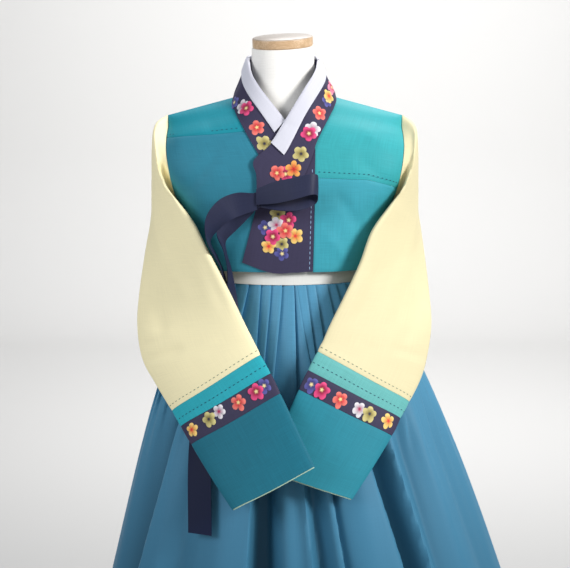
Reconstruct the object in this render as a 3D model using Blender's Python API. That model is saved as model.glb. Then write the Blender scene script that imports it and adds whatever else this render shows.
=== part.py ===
# A Korean hanbok, a short jacket over a high pleated skirt, worn by a limbless dress form.
# Metres, +Z up, the front faces -Y. The origin is the middle of the base's flat underside.

import math

import bpy
import numpy as np

# Cloth and seams
cloth_wall = 0.0015
ribbon_wall = 0.0012
seam_gap = 0.0003
half_gap = seam_gap / 2
seam_shift = 0.004  # half a yoke seam's gap, in rows of the jacket
panel_columns = 9

# The jacket's rings, from hem (row 0) to the shoulder ridge (last row).
# Columns: height at the middle, half width, front depth, back depth, drop towards the shoulder tip,
# squareness of the outline, armhole's place as a share of the half width.
coat_rows = np.array([
    (1.105, 0.150, 0.120, 0.098, 0.000, 2.6, 1.000),
    (1.148, 0.156, 0.121, 0.101, 0.000, 2.7, 1.000),
    (1.190, 0.165, 0.118, 0.103, 0.000, 2.9, 1.000),
    (1.230, 0.184, 0.114, 0.104, 0.003, 3.4, 0.962),
    (1.270, 0.200, 0.107, 0.102, 0.008, 3.8, 0.920),
    (1.308, 0.202, 0.096, 0.097, 0.016, 3.6, 0.932),
    (1.340, 0.196, 0.080, 0.089, 0.027, 3.0, 0.965),
    (1.366, 0.191, 0.054, 0.077, 0.038, 2.6, 0.985),
    (1.387, 0.190, 0.030, 0.052, 0.046, 2.4, 0.996),
    (1.398, 0.190, 0.000, 0.000, 0.051, 2.3, 1.000),
])
armpit_row = 2.0
ridge_row = len(coat_rows) - 1.0

# Where each front starts beside the middle, for each row of the rings: the left front runs on
# under the overlap panel, and both run on a little under the collar.
front_left_start = np.array([0.030, 0.030, 0.024, 0.012, -0.015, -0.039, -0.054, -0.066, -0.069, -0.069])
front_right_start = np.array([0.044, 0.045, 0.046, 0.047, 0.046, 0.040, 0.051, 0.061, 0.067, 0.069])
back_start = np.array([0.0, 0.0, 0.0, 0.0, 0.0, 0.0, 0.0, 0.0, 0.056, 0.069])

# The seam between yoke and lower cloth as a row of the rings, at its inner end, middle and armhole.
yoke_seam_left = (5.72, 5.80, 5.95)
yoke_seam_right = (3.60, 3.56, 3.15)
back_seam_left = (5.75, 5.80, 5.95)
back_seam_right = (3.60, 3.45, 3.15)

# The skirt's rings. Columns: height, half width, half depth, middle's x, middle's y, pleat depth.
skirt_rows = np.array([
    (1.084, 0.137, 0.108, 0.004, -0.009, 0.0035),
    (1.040, 0.158, 0.126, 0.006, -0.007, 0.0065),
    (0.970, 0.198, 0.156, 0.010, -0.002, 0.0085),
    (0.905, 0.231, 0.180, 0.016, 0.001, 0.0085),
    (0.800, 0.275, 0.208, 0.024, 0.007, 0.0060),
    (0.584, 0.337, 0.262, 0.036, 0.016, 0.0035),
    (0.300, 0.420, 0.325, 0.050, 0.022, 0.0025),
    (0.030, 0.492, 0.385, 0.062, 0.028, 0.0020),
])
pleats = 44
pleat_points = 3
skirt_levels = 10
skirt_widths = 4
skirt_lap_pleats = 2
lap_lift = 0.004
skirt_centre = np.array([0.03, 0.01, 0.0])
width_gap = 0.02  # in columns, at both side edges of a skirt width

# The skirt's larger folds. Azimuth is in degrees, 0 at the front and growing towards +X. Columns:
# azimuth at the band, azimuth at the hem, depth at the hem, half width in degrees at the hem, height
# where the fold begins.
skirt_folds = np.array([
    (-46.0, -68.0, 0.034, 6.5, 0.93),
    (-40.0, -44.0, 0.010, 3.5, 0.88),
    (-10.5, -13.5, 0.036, 4.8, 0.95),
    (-1.0, 10.0, 0.014, 3.0, 0.86),
    (6.0, 20.0, 0.014, 3.0, 0.86),
    (23.0, 44.0, 0.036, 5.5, 0.95),
    (42.0, 57.0, 0.012, 3.5, 0.90),
    (64.0, 72.0, 0.022, 6.0, 0.85),
    (88.0, 93.0, 0.026, 6.5, 0.90),
    (112.0, 114.0, 0.020, 5.0, 0.85),
    (136.0, 138.0, 0.030, 7.0, 0.92),
    (163.0, 163.0, 0.018, 4.5, 0.84),
    (187.0, 186.0, 0.030, 6.5, 0.94),
    (212.0, 210.0, 0.018, 5.0, 0.86),
    (236.0, 237.0, 0.028, 6.5, 0.92),
    (258.0, 260.0, 0.020, 5.0, 0.86),
])

# The white chest band. Columns: height, half width, front depth, back depth.
band_rows = np.array([
    (1.0845, 0.1372, 0.1165, 0.0985),
    (1.1060, 0.1370, 0.1130, 0.0935),
    (1.1500, 0.1400, 0.1120, 0.0930),
    (1.1720, 0.1420, 0.1105, 0.0940),
])

# Each sleeve is a flattened tube. Columns: front fold x y z, back fold x y z, middle of the ring x y z,
# and half of the ring's thickness as a vector x y z. Both are written running towards +X, so the
# wearer's right sleeve, at -X, is mirrored.
left_sleeve_rows = np.array([
    (0.1950, -0.0700, 1.2680, 0.1980, 0.0700, 1.2680, 0.1900, 0.0000, 1.2605, 0.0190, 0.0000, 0.0720),
    (0.1950, -0.0790, 1.2570, 0.2010, 0.0790, 1.2570, 0.1955, -0.0010, 1.2415, 0.0205, 0.0000, 0.0550),
    (0.1885, -0.0900, 1.2400, 0.2060, 0.0840, 1.2360, 0.1970, -0.0030, 1.2130, 0.0205, -0.0020, 0.0300),
    (0.1670, -0.1060, 1.2130, 0.2110, 0.0780, 1.2000, 0.1975, -0.0110, 1.1850, 0.0190, -0.0050, 0.0110),
    (0.1432, -0.1250, 1.1826, 0.2180, 0.0580, 1.1620, 0.1930, -0.0270, 1.1580, 0.0180, -0.0080, 0.0020),
    (0.1223, -0.1420, 1.1447, 0.2250, 0.0300, 1.1230, 0.1830, -0.0500, 1.1310, 0.0160, -0.0110, 0.0000),
    (0.0876, -0.1680, 1.0843, 0.2335, -0.0230, 1.0620, 0.1640, -0.0930, 1.0730, 0.0125, -0.0140, 0.0000),
    (0.0600, -0.1880, 1.0320, 0.2365, -0.0750, 1.0130, 0.1490, -0.1300, 1.0220, 0.0085, -0.0145, 0.0010),
    (0.0470, -0.1965, 1.0080, 0.2260, -0.1080, 0.9650, 0.1370, -0.1510, 0.9860, 0.0065, -0.0140, 0.0010),
    (0.0420, -0.2000, 0.9990, 0.2040, -0.1300, 0.9300, 0.1240, -0.1640, 0.9640, 0.0050, -0.0140, 0.0010),
    (0.0373, -0.2040, 0.9899, 0.1768, -0.1520, 0.8905, 0.1070, -0.1780, 0.9402, 0.0045, -0.0135, 0.0010),
])
left_band_rows = np.array([
    (0.0214, -0.2140, 0.9633, 0.1618, -0.1720, 0.8701, 0.0916, -0.1930, 0.9167, 0.0035, -0.0130, 0.0010),
    (0.0067, -0.2240, 0.9345, 0.1448, -0.1890, 0.8458, 0.0757, -0.2065, 0.8902, 0.0025, -0.0125, 0.0010),
    (-0.0196, -0.2430, 0.8810, 0.1122, -0.2210, 0.8013, 0.0463, -0.2320, 0.8412, 0.0015, -0.0110, 0.0010),
    (-0.0448, -0.2590, 0.8301, 0.0799, -0.2480, 0.7595, 0.0175, -0.2535, 0.7948, 0.0010, -0.0100, 0.0010),
])
right_sleeve_rows = np.array([
    (0.1950, -0.0700, 1.2680, 0.1980, 0.0700, 1.2680, 0.1900, 0.0000, 1.2605, 0.0190, 0.0000, 0.0720),
    (0.1950, -0.0790, 1.2570, 0.2010, 0.0790, 1.2570, 0.1955, -0.0010, 1.2415, 0.0205, 0.0000, 0.0550),
    (0.1885, -0.0890, 1.2380, 0.2060, 0.0840, 1.2360, 0.1970, -0.0030, 1.2110, 0.0205, -0.0020, 0.0300),
    (0.1650, -0.1050, 1.2080, 0.2110, 0.0780, 1.2000, 0.1970, -0.0110, 1.1800, 0.0190, -0.0050, 0.0090),
    (0.1370, -0.1250, 1.1700, 0.2170, 0.0580, 1.1600, 0.1920, -0.0270, 1.1550, 0.0180, -0.0080, 0.0020),
    (0.1180, -0.1390, 1.1220, 0.2230, 0.0300, 1.1180, 0.1810, -0.0500, 1.1200, 0.0160, -0.0110, 0.0000),
    (0.0960, -0.1560, 1.0800, 0.2310, -0.0180, 1.0620, 0.1660, -0.0850, 1.0710, 0.0125, -0.0140, 0.0000),
    (0.0700, -0.1720, 1.0320, 0.2350, -0.0680, 1.0130, 0.1530, -0.1190, 1.0220, 0.0085, -0.0145, 0.0010),
    (0.0590, -0.1790, 1.0080, 0.2260, -0.0960, 0.9650, 0.1430, -0.1370, 0.9860, 0.0065, -0.0140, 0.0010),
    (0.0540, -0.1820, 1.0000, 0.2150, -0.1120, 0.9330, 0.1350, -0.1470, 0.9670, 0.0050, -0.0140, 0.0010),
    (0.0498, -0.1850, 0.9918, 0.1959, -0.1330, 0.9007, 0.1230, -0.1590, 0.9462, 0.0045, -0.0135, 0.0010),
])
right_band_rows = np.array([
    (0.0350, -0.1910, 0.9640, 0.1810, -0.1500, 0.8780, 0.1080, -0.1705, 0.9210, 0.0035, -0.0120, 0.0010),
    (0.0208, -0.1960, 0.9347, 0.1666, -0.1670, 0.8540, 0.0937, -0.1815, 0.8944, 0.0025, -0.0110, 0.0010),
    (-0.0060, -0.2080, 0.8750, 0.1350, -0.1950, 0.8100, 0.0645, -0.2015, 0.8425, 0.0015, -0.0095, 0.0010),
    (-0.0319, -0.2210, 0.8152, 0.1032, -0.2160, 0.7666, 0.0357, -0.2185, 0.7909, 0.0010, -0.0085, 0.0010),
])
sleeve_round = 16
armhole_middle = 1.2685
armhole_half = 0.0785
armhole_clear = 0.0008
armhole_rise = 0.0006
underarm_clear = 0.0030
end_draw = 1.5 * half_gap
plane_rings = 3  # rings over which a sleeve leaves its armhole's plane

# The collar band, from the nape to its front end. Columns: outer edge x z, its depth y (used behind
# the ridge only), inner edge x y z. In front the outer edge lies on the jacket.
collar_over = np.array([
    (0.0002, 1.3720, 0.0790, 0.0002, 0.0640, 1.4340),
    (0.0450, 1.3760, 0.0600, 0.0300, 0.0530, 1.4385),
    (0.0720, 1.3800, 0.0300, 0.0505, 0.0200, 1.4410),
    (0.0805, 1.3825, 0.0000, 0.0530, -0.0150, 1.4307),
    (0.0808, 1.3660, -0.03, 0.0476, -0.0450, 1.4165),
    (0.0630, 1.3335, -0.07, 0.0321, -0.0670, 1.3913),
    (0.0501, 1.3086, -0.09, 0.0160, -0.0790, 1.3650),
    (0.0418, 1.2837, -0.10, 0.0000, -0.0880, 1.3386),
    (0.0307, 1.2580, -0.10, -0.0211, -0.0900, 1.3055),
    (0.0173, 1.2390, -0.10, -0.0487, -0.0900, 1.2794),
    (0.0000, 1.2237, -0.10, -0.0447, -0.0900, 1.2573),
    (-0.0235, 1.2130, -0.10, -0.0440, -0.0900, 1.2345),
    (-0.0330, 1.2120, -0.10, -0.0432, -0.0900, 1.2240),
])
collar_under = np.array([
    (-0.0002, 1.3720, 0.0790, -0.0032, 0.0640, 1.4340),
    (-0.0450, 1.3760, 0.0600, -0.0340, 0.0530, 1.4385),
    (-0.0720, 1.3800, 0.0300, -0.0563, 0.0200, 1.4410),
    (-0.0810, 1.3825, 0.0000, -0.0585, -0.0100, 1.4354),
    (-0.0840, 1.3680, -0.03, -0.0541, -0.0400, 1.4165),
    (-0.0784, 1.3518, -0.05, -0.0411, -0.0590, 1.3927),
    (-0.0663, 1.3303, -0.07, -0.0214, -0.0720, 1.3664),
    (-0.0437, 1.2923, -0.10, 0.0000, -0.0800, 1.3386),
    (-0.0300, 1.2720, -0.10, 0.0080, -0.0850, 1.3260),
])
white_strip_wall = 0.0010

# How far the collar's two layers stand off the jacket, from the outer to the inner edge.
collar_share = (0.0, 0.4, 0.7, 1.0)
lift_over = (0.0028, 0.0042, 0.0054, 0.0054)
lift_under = (0.0012, 0.0012, 0.0012, 0.0012)

# The overlap panel's bottom and top edges, x and z, from its seam towards the wearer's right.
overlap_bottom = np.array([(0.0437, 1.1065), (0.0110, 1.1045), (-0.0215, 1.1045), (-0.0673, 1.1202)])
overlap_top = np.array([(0.0474, 1.2984), (0.0400, 1.2850), (0.0285, 1.2600), (0.0150, 1.2410),
                        (-0.0020, 1.2260), (-0.0240, 1.2155), (-0.0430, 1.2130)])

# The ribbon's runs. Columns: middle x y z, half width as a vector x y z.
ribbon_loop = np.array([
    (-0.0363, -0.1400, 1.2280, 0.0000, -0.0020, 0.0130),
    (-0.0150, -0.1530, 1.2330, -0.0010, 0.0010, 0.0165),
    (0.0150, -0.1600, 1.2400, -0.0020, 0.0030, 0.0160),
    (0.0400, -0.1600, 1.2460, -0.0010, 0.0020, 0.0155),
    (0.0500, -0.1500, 1.2430, 0.0000, 0.0000, 0.0160),
    (0.0460, -0.1380, 1.2320, 0.0000, 0.0000, 0.0165),
    (0.0200, -0.1310, 1.2240, 0.0000, 0.0000, 0.0165),
    (-0.0080, -0.1290, 1.2220, 0.0000, 0.0000, 0.0160),
    (-0.0361, -0.1310, 1.2220, 0.0000, 0.0000, 0.0130),
])
long_tail = np.array([
    (-0.0530, -0.1340, 1.2180, -0.0010, -0.0010, 0.0150),
    (-0.0720, -0.1410, 1.2140, -0.0040, -0.0020, 0.0175),
    (-0.0930, -0.1480, 1.2050, -0.0100, -0.0060, 0.0150),
    (-0.1100, -0.1520, 1.1860, -0.0110, -0.0130, 0.0080),
    (-0.1180, -0.1480, 1.1580, -0.0020, -0.0165, 0.0020),
    (-0.1070, -0.1300, 1.1310, -0.0010, -0.0120, 0.0000),
    (-0.0975, -0.1230, 1.1060, -0.0010, -0.0095, 0.0000),
    (-0.0960, -0.1190, 1.0700, -0.0070, -0.0050, 0.0000),
    (-0.1090, -0.1290, 1.0000, -0.0140, 0.0010, 0.0000),
    (-0.1230, -0.1470, 0.9300, -0.0170, 0.0030, 0.0000),
    (-0.1300, -0.1640, 0.8600, -0.0180, 0.0060, 0.0000),
    (-0.1330, -0.1770, 0.8000, -0.0185, 0.0085, 0.0000),
    (-0.1320, -0.1990, 0.7060, -0.0185, 0.0085, 0.0000),
])
short_tail = np.array([
    (-0.0522, -0.1290, 1.2045, 0.0000, 0.0000, 0.0110),
    (-0.0700, -0.1290, 1.1950, -0.0040, -0.0010, 0.0130),
    (-0.0850, -0.1270, 1.1820, -0.0080, -0.0020, 0.0110),
    (-0.0990, -0.1280, 1.1620, -0.0070, -0.0060, 0.0070),
    (-0.0935, -0.1240, 1.1380, -0.0020, -0.0090, 0.0020),
    (-0.0870, -0.1200, 1.1080, -0.0030, -0.0065, 0.0000),
    (-0.0830, -0.1240, 1.0600, -0.0080, -0.0080, 0.0000),
    (-0.0800, -0.1470, 1.0000, -0.0120, -0.0030, 0.0000),
    (-0.0790, -0.1620, 0.9500, -0.0130, -0.0010, 0.0000),
])
knot_middle = (-0.0443, -0.1333, 1.2190)
knot_half = (0.0080, 0.0120, 0.0190)

# The dress form. Columns: height, half width, front depth, back depth.
torso_rows = np.array([
    (0.8000, 0.150, 0.098, 0.108),
    (0.8600, 0.156, 0.100, 0.106),
    (0.9300, 0.138, 0.090, 0.092),
    (0.9900, 0.118, 0.082, 0.080),
    (1.0500, 0.118, 0.096, 0.080),
    (1.1100, 0.122, 0.1100, 0.083),
    (1.1700, 0.133, 0.1070, 0.088),
    (1.2300, 0.146, 0.095, 0.090),
    (1.2900, 0.158, 0.079, 0.086),
    (1.3250, 0.154, 0.060, 0.074),
    (1.3460, 0.130, 0.048, 0.060),
    (1.3590, 0.096, 0.043, 0.050),
    (1.3690, 0.070, 0.042, 0.043),
    (1.3850, 0.0570, 0.042, 0.041),
    (1.4050, 0.0520, 0.042, 0.041),
    (1.4300, 0.0508, 0.043, 0.042),
])
neck_top = 1.4570
neck_x = -0.0035
neck_half = (0.0500, 0.0420)
cap_rows = ((0.0, 0.0472), (0.0015, 0.0487), (0.0138, 0.0487), (0.0153, 0.0472))
cap_round = 0.86  # the cap's depth over its width
cap_tilt_forward = math.radians(8.8)
cap_tilt_side = math.radians(2.6)
torso_round = 20
pole_radius = 0.0140
pole_round = 24
base_rows = np.array([(0.0, 0.180), (0.008, 0.180), (0.014, 0.172), (0.020, 0.120), (0.024, 0.040)])


def row_values(rows, at):
    # Values between the rows of a table: a cubic through the four nearest rows, each row one step
    # from the next.
    at = np.clip(np.asarray(at, float), 0.0, len(rows) - 1.0)
    low = np.minimum(np.floor(at).astype(int), len(rows) - 2)
    f = (at - low)[..., None]
    p1, p2 = rows[low], rows[low + 1]
    p0 = np.where((low > 0)[..., None], rows[np.maximum(low - 1, 0)], 2 * p1 - p2)
    p3 = np.where((low < len(rows) - 2)[..., None], rows[np.minimum(low + 2, len(rows) - 1)], 2 * p2 - p1)
    return 0.5 * (2 * p1 + (p2 - p0) * f + (2 * p0 - 5 * p1 + 4 * p2 - p3) * f**2
                  + (3 * p1 - p0 - 3 * p2 + p3) * f**3)


def coat_point(angle, row, back):
    # A point of the jacket's outer face: x is half width times sine of the angle, and y follows a
    # rounded box outline. back is 0 in front and 1 behind.
    height, half, front, rear, drop, square, _ = np.moveaxis(row_values(coat_rows, row), -1, 0)
    side = np.sin(angle)
    deep = np.where(back > 0.5, rear, front)
    bulge = np.maximum(1 - np.abs(side)**square, 0.0)**(1 / square)
    y = np.maximum(np.maximum(deep, 0.0) * bulge, half_gap) * np.where(back > 0.5, 1, -1)
    return np.stack([half * side, y, height - drop * np.abs(side)], -1)


def coat_normal(angle, row, back):
    # The outward direction, from small steps along the surface; on the ridge it points up.
    step = 0.01
    inward = np.where(angle > 0, -1.0, 1.0)
    at = coat_point(angle, row, back)
    along = (coat_point(angle + inward * step, row, back) - at) * inward[..., None]
    down = at - coat_point(angle, np.maximum(row - step, 0.0), back)
    down = np.where((row < step)[..., None], coat_point(angle, row + step, back) - at, down)
    n = np.cross(along, down)
    n = n / np.linalg.norm(n, axis=-1, keepdims=True)
    n = n * np.where(back > 0.5, -1.0, 1.0)[..., None]
    n = np.where((n[..., 1] * np.where(back > 0.5, 1, -1) < -0.2)[..., None], -n, n)
    ridge = np.clip(row - ridge_row + 1, 0, 1)[..., None]**4
    n = n * (1 - ridge) + np.array([0.0, 0.0, 1.0]) * ridge
    return n / np.linalg.norm(n, axis=-1, keepdims=True)


def coat_row_at(x, z):
    # The row whose front passes a given x and z, by halving.
    low, high = np.zeros_like(x), np.full_like(x, ridge_row)
    for _ in range(30):
        middle = (low + high) / 2
        v = row_values(coat_rows, middle)
        above = v[..., 0] - v[..., 4] * np.abs(x) / v[..., 1] > z
        high = np.where(above, middle, high)
        low = np.where(above, low, middle)
    return (low + high) / 2


def coat_front_y(x, z):
    # How far forward the jacket's outer face is at x and z.
    v = row_values(coat_rows, coat_row_at(x, z))
    share = np.minimum(np.abs(x) / v[..., 1], 1.0)
    return -np.maximum(v[..., 2], 0) * np.maximum(1 - share**v[..., 5], 0)**(1 / v[..., 5])


def armhole_angle(row):
    share = np.clip(row_values(coat_rows, row)[..., 6], 0.0, 1.0)
    return np.where(row <= armpit_row, math.pi / 2, np.arcsin(share))


def resample(points, count):
    # A smooth curve through a table's rows, as count rows evenly spaced in row number.
    return row_values(points, np.linspace(0, len(points) - 1, count))


def material(name, colour, rough, metal=0.0):
    m = bpy.data.materials.new(name)
    m.use_nodes = True
    shader = m.node_tree.nodes["Principled BSDF"]
    shader.inputs["Base Color"].default_value = (*colour, 1)
    shader.inputs["Roughness"].default_value = rough
    shader.inputs["Metallic"].default_value = metal
    return m


def add_object(name, points, faces, colour, rough=0.8, metal=0.0):
    mesh = bpy.data.meshes.new(name)
    mesh.from_pydata([tuple(map(float, p)) for p in points], [], faces)
    mesh.validate()
    mesh.materials.append(material(name, colour, rough, metal))
    o = bpy.data.objects.new(name, mesh)
    bpy.context.collection.objects.link(o)
    mesh.shade_smooth()
    mesh.set_sharp_from_angle(angle=math.radians(40))
    return o


def wall_solid(name, outer, inner, colour, ring=False):
    # A closed wall between two grids of points: both faces, and a rim round the free edges. With
    # ring the last column joins the first.
    rows, columns = outer.shape[:2]
    points = np.concatenate([outer.reshape(-1, 3), inner.reshape(-1, 3)])
    n = rows * columns
    faces = []
    spans = columns if ring else columns - 1

    def quad(a, b, c, d):
        faces.append((a, b, c))
        faces.append((a, c, d))

    for i in range(rows - 1):
        for j in range(spans):
            k = (j + 1) % columns
            a, b, c, d = i * columns + j, i * columns + k, (i + 1) * columns + k, (i + 1) * columns + j
            quad(a, b, c, d)
            faces.append((n + a, n + c, n + b))
            faces.append((n + a, n + d, n + c))
    for j in range(spans):
        k = (j + 1) % columns
        top = (rows - 1) * columns
        quad(n + j, n + k, k, j)
        quad(top + j, top + k, n + top + k, n + top + j)
    if not ring:
        for i in range(rows - 1):
            a, b = i * columns, (i + 1) * columns
            quad(a, b, n + b, n + a)
            a, b = a + columns - 1, b + columns - 1
            quad(n + a, n + b, b, a)
    tetra = points[np.array(faces)]
    volume = np.einsum("ij,ij->i", tetra[:, 0], np.cross(tetra[:, 1], tetra[:, 2])).sum()
    if volume < 0:
        faces = [f[::-1] for f in faces]
    return add_object(name, points, faces, colour)


def grid_normals(grid, ring=False):
    # Directions square to a grid of points: each point takes the mean of the faces round it.
    g = np.concatenate([grid, grid[:, :1]], 1) if ring else grid
    faces = np.cross(g[:-1, 1:] - g[1:, :-1], g[1:, 1:] - g[:-1, :-1])
    faces /= np.maximum(np.linalg.norm(faces, axis=-1, keepdims=True), 1e-12)
    n = np.zeros_like(g)
    for i in (0, 1):
        for j in (0, 1):
            n[i:len(g) - 1 + i, j:g.shape[1] - 1 + j] += faces
    if ring:
        n[:, 0] += n[:, -1]
        n = n[:, :-1]
    return n / np.maximum(np.linalg.norm(n, axis=-1, keepdims=True), 1e-12)


def coat_cloth(name, angles, rows, back, colour):
    # A jacket piece: a grid on the jacket's surface and its copy moved inwards.
    n = coat_normal(angles, rows, back)
    outer = coat_point(angles, rows, back)
    inner = outer - n * cloth_wall
    sign = np.where(back > 0.5, 1, -1)
    edge = np.abs(outer[..., 1]) <= half_gap * 1.01
    low = rows < ridge_row - 0.01
    for face in (outer, inner):
        face[..., 1] = np.where(edge & low, sign * half_gap, face[..., 1])
    return wall_solid(name, outer, inner, colour)


def seam_row(seam, share):
    return np.interp(share, (0.0, 0.5, 1.0), seam)


def armhole_rows():
    # The rows at which the sleeve's ring of points meets the armhole, from the armpit upwards.
    rows = np.linspace(armpit_row, ridge_row, 400)
    edge = coat_point(armhole_angle(rows), rows, np.zeros_like(rows))
    turn = np.linspace(-math.pi / 2, math.pi / 2, sleeve_round // 2 + 1)
    return np.interp(armhole_middle + armhole_half * np.sin(turn), edge[:, 2], rows)


def edge_levels(low, high):
    # The rows of a jacket piece's armhole edge: its ends, the armpit and the sleeve's own rows,
    # with further rows where two are far apart.
    inner = [r for r in armhole_rows() if low + 0.06 < r < high - 0.06]
    levels = [low] + inner + [high]
    out = [low]
    for a, b in zip(levels[:-1], levels[1:]):
        parts = math.ceil((b - a) / 0.75)
        out.extend(a + (b - a) * (i + 1) / parts for i in range(parts))
    return np.array(out)


def front_start_angle(start, row):
    # The angle at which a front begins, from its distance beside the middle.
    half = row_values(coat_rows, row)[..., 1]
    x = np.interp(row, np.arange(len(start)), start)
    return np.arcsin(np.clip(x / half, -1, 1))


def panel_rows(seam, low_end):
    # A grid of rows: at the armhole they meet the sleeve's, and beside the middle they are even.
    share = np.linspace(0, 1, panel_columns)
    ends = seam_row(seam, share)
    edge = edge_levels(0.0, seam[2] - seam_shift) if low_end else edge_levels(seam[2] + seam_shift, ridge_row)
    level = (edge - edge[0]) / (edge[-1] - edge[0])
    if low_end:
        return level[:, None] * (ends - seam_shift)[None, :], share
    first = (ends + seam_shift)[None, :]
    return first + (ridge_row - first) * level[:, None], share


def lower_front(name, sign, start, seam, colour):
    rows, share = panel_rows(seam, True)
    first = front_start_angle(start, rows)
    angles = first + (sign * armhole_angle(rows) - first) * share[None, :]
    coat_cloth(name, angles, rows, np.zeros_like(rows), colour)


def lower_back(name, sign, seam, colour):
    rows, share = panel_rows(seam, True)
    first = sign * np.arcsin(half_gap / row_values(coat_rows, rows)[..., 1])
    angles = first + (sign * armhole_angle(rows) - first) * share[None, :]
    coat_cloth(name, angles, rows, np.ones_like(rows), colour)


def yoke(name, sign, start, seam, behind_seam, colour):
    # The shoulder cloth runs from the front seam over the ridge to the back seam in one piece.
    rows_front, share = panel_rows(seam, False)
    rows_back = panel_rows(behind_seam, False)[0][::-1][1:]
    rows = np.concatenate([rows_front, rows_back])
    behind = np.concatenate([np.zeros_like(rows_front), np.ones_like(rows_back)])
    half = row_values(coat_rows, rows)[..., 1]
    nape = np.interp(rows, np.arange(len(back_start)), back_start)
    first_back = sign * np.arcsin(np.clip(np.maximum(nape, half_gap) / half, -1, 1))
    first = np.where(behind > 0.5, first_back, front_start_angle(start, rows))
    angles = first + (sign * armhole_angle(rows) - first) * share[None, :]
    coat_cloth(name, angles, rows, behind, colour)


def armhole_loop(sign):
    # The jacket's armhole as a ring of points, starting in front and running over the shoulder.
    turn = np.arange(sleeve_round) * 2 * math.pi / sleeve_round
    row = np.interp(np.arcsin(np.sin(turn)), np.linspace(-math.pi / 2, math.pi / 2, sleeve_round // 2 + 1),
                    armhole_rows())
    behind = np.where(np.cos(turn) < -1e-6, 1.0, 0.0)
    loop = coat_point(armhole_angle(row), row, behind)
    loop[:, 1] = np.where(np.abs(np.cos(turn)) < 1e-6, 0.0, loop[:, 1])
    under = np.maximum(-np.sin(turn), 0)**2
    loop[:, 0] += armhole_clear + underarm_clear * under
    loop[:, 2] += armhole_rise * np.sin(turn) + armhole_clear * under
    loop[:, 0] *= sign
    return loop


def sleeve_rings(rows, sign, inset):
    # Flattened rings: front fold at angle 0, outer side at a quarter turn, back fold at a half. At
    # the folds a ring leaves square to the fold's own line, so that neighbouring rings don't slant.
    # The inner face's rings lie inside the outer ones, in the same plane.
    front, rear, middle, thick = (rows[:, None, i:i + 3] * (sign, 1, 1) for i in (0, 3, 6, 9))
    turn = (np.arange(sleeve_round) * 2 * math.pi / sleeve_round)[None, :, None]
    fronts = np.cos(turn) > 0
    reach = np.where(fronts, front - middle, middle - rear)
    reach = reach * (1 - 2 * inset / np.linalg.norm(reach, axis=-1, keepdims=True))
    squared = []
    for fold in (front, rear):
        way = np.gradient(fold, axis=0)
        way /= np.linalg.norm(way, axis=-1, keepdims=True)
        squared.append(-(thick * way).sum(axis=-1, keepdims=True) * way)
    square = np.where(fronts, squared[0], squared[1]) * np.cos(turn)**2 * square_share(len(rows))
    across = (thick + square) * (1 - inset / np.linalg.norm(thick, axis=-1, keepdims=True))
    return middle + reach * np.cos(turn) + across * np.sin(turn)


def square_share(count):
    # Next to the armhole the rings follow its own plane.
    return np.clip(np.arange(count) / plane_rings, 0, 1)[:, None, None]


def tube_normals(grid):
    n = grid_normals(grid, ring=True)
    middle = grid.mean(axis=1, keepdims=True)
    return n if np.einsum("ijk,ijk->", n, grid - middle) > 0 else -n


def shrink_end(grid, first, last):
    # Draws the first or last ring back along the tube by half a seam's gap.
    g = grid.copy()
    if first:
        way = (g[1] - g[0]).mean(axis=0)
        g[0] += way / np.linalg.norm(way) * end_draw
    if last:
        way = (g[-2] - g[-1]).mean(axis=0)
        g[-1] += way / np.linalg.norm(way) * end_draw
    return g


def sleeve(side, sign, rows, lower, colours):
    rows = np.concatenate([rows, lower])
    loop = armhole_loop(sign)
    inner_loop = loop + (loop.mean(axis=0) - loop) * (0, 1, 1) * cloth_wall / armhole_half
    tube = np.concatenate([loop[None], sleeve_rings(rows, sign, 0.0)])
    lining = np.concatenate([inner_loop[None], sleeve_rings(rows, sign, cloth_wall)])
    last = len(tube) - 1
    seams = (0, last - 4, last - 3, last - 2, last)
    names = ("sleeve", "band_turquoise", "band_purple", "cuff")
    for i, name in enumerate(names):
        part = slice(seams[i], seams[i + 1] + 1)
        ends = (i > 0, i < len(names) - 1)
        outer = shrink_end(tube[part], *ends)
        inner = shrink_end(lining[part], *ends)
        wall_solid(f"{name}_{side}", outer, inner, colours[i], ring=True)


def collar_grid(table, over, count):
    # The collar's inner face: straight across from its outer edge to its inner edge, bowed out a
    # little, and never nearer to the jacket than the layers under it.
    c = resample(table, count)
    share = np.array([0.0, 0.34, 0.623, 0.8, 1.0])
    outer_edge = c[:, [0, 2, 1]].copy()
    inner_edge = c[:, 3:6]
    front = c[:, 2] < -0.001
    outer_edge[front, 1] = coat_front_y(c[front, 0], c[front, 1])
    grid = outer_edge[:, None] * (1 - share[None, :, None]) + inner_edge[:, None] * share[None, :, None]
    lift = np.interp(share, collar_share, lift_over if over else lift_under)
    surface = coat_front_y(grid[..., 0], grid[..., 2])
    ahead = grid[..., 1] < 0.002
    grid[..., 1] = np.where(ahead, np.minimum(grid[..., 1], surface - lift[None, :]), grid[..., 1])
    return grid


def collar_out(grid):
    n = grid_normals(grid)
    middle = np.array([0.0, -0.01, 1.30])
    if np.einsum("ijk,ijk->", n, grid - middle) < 0:
        n = -n
    return n


def collar(name, strip_name, table, over, strip_end, colour, white):
    count = 2 * len(table) - 1
    grid = collar_grid(table, over, count)
    n = collar_out(grid)
    outer = grid + n * cloth_wall
    wall_solid(name, outer, grid, colour)
    rows = strip_end * 2 + 1
    base = outer[:rows, 2:] + n[:rows, 2:] * seam_gap * 2
    wall_solid(strip_name, base + n[:rows, 2:] * white_strip_wall, base, white)


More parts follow.
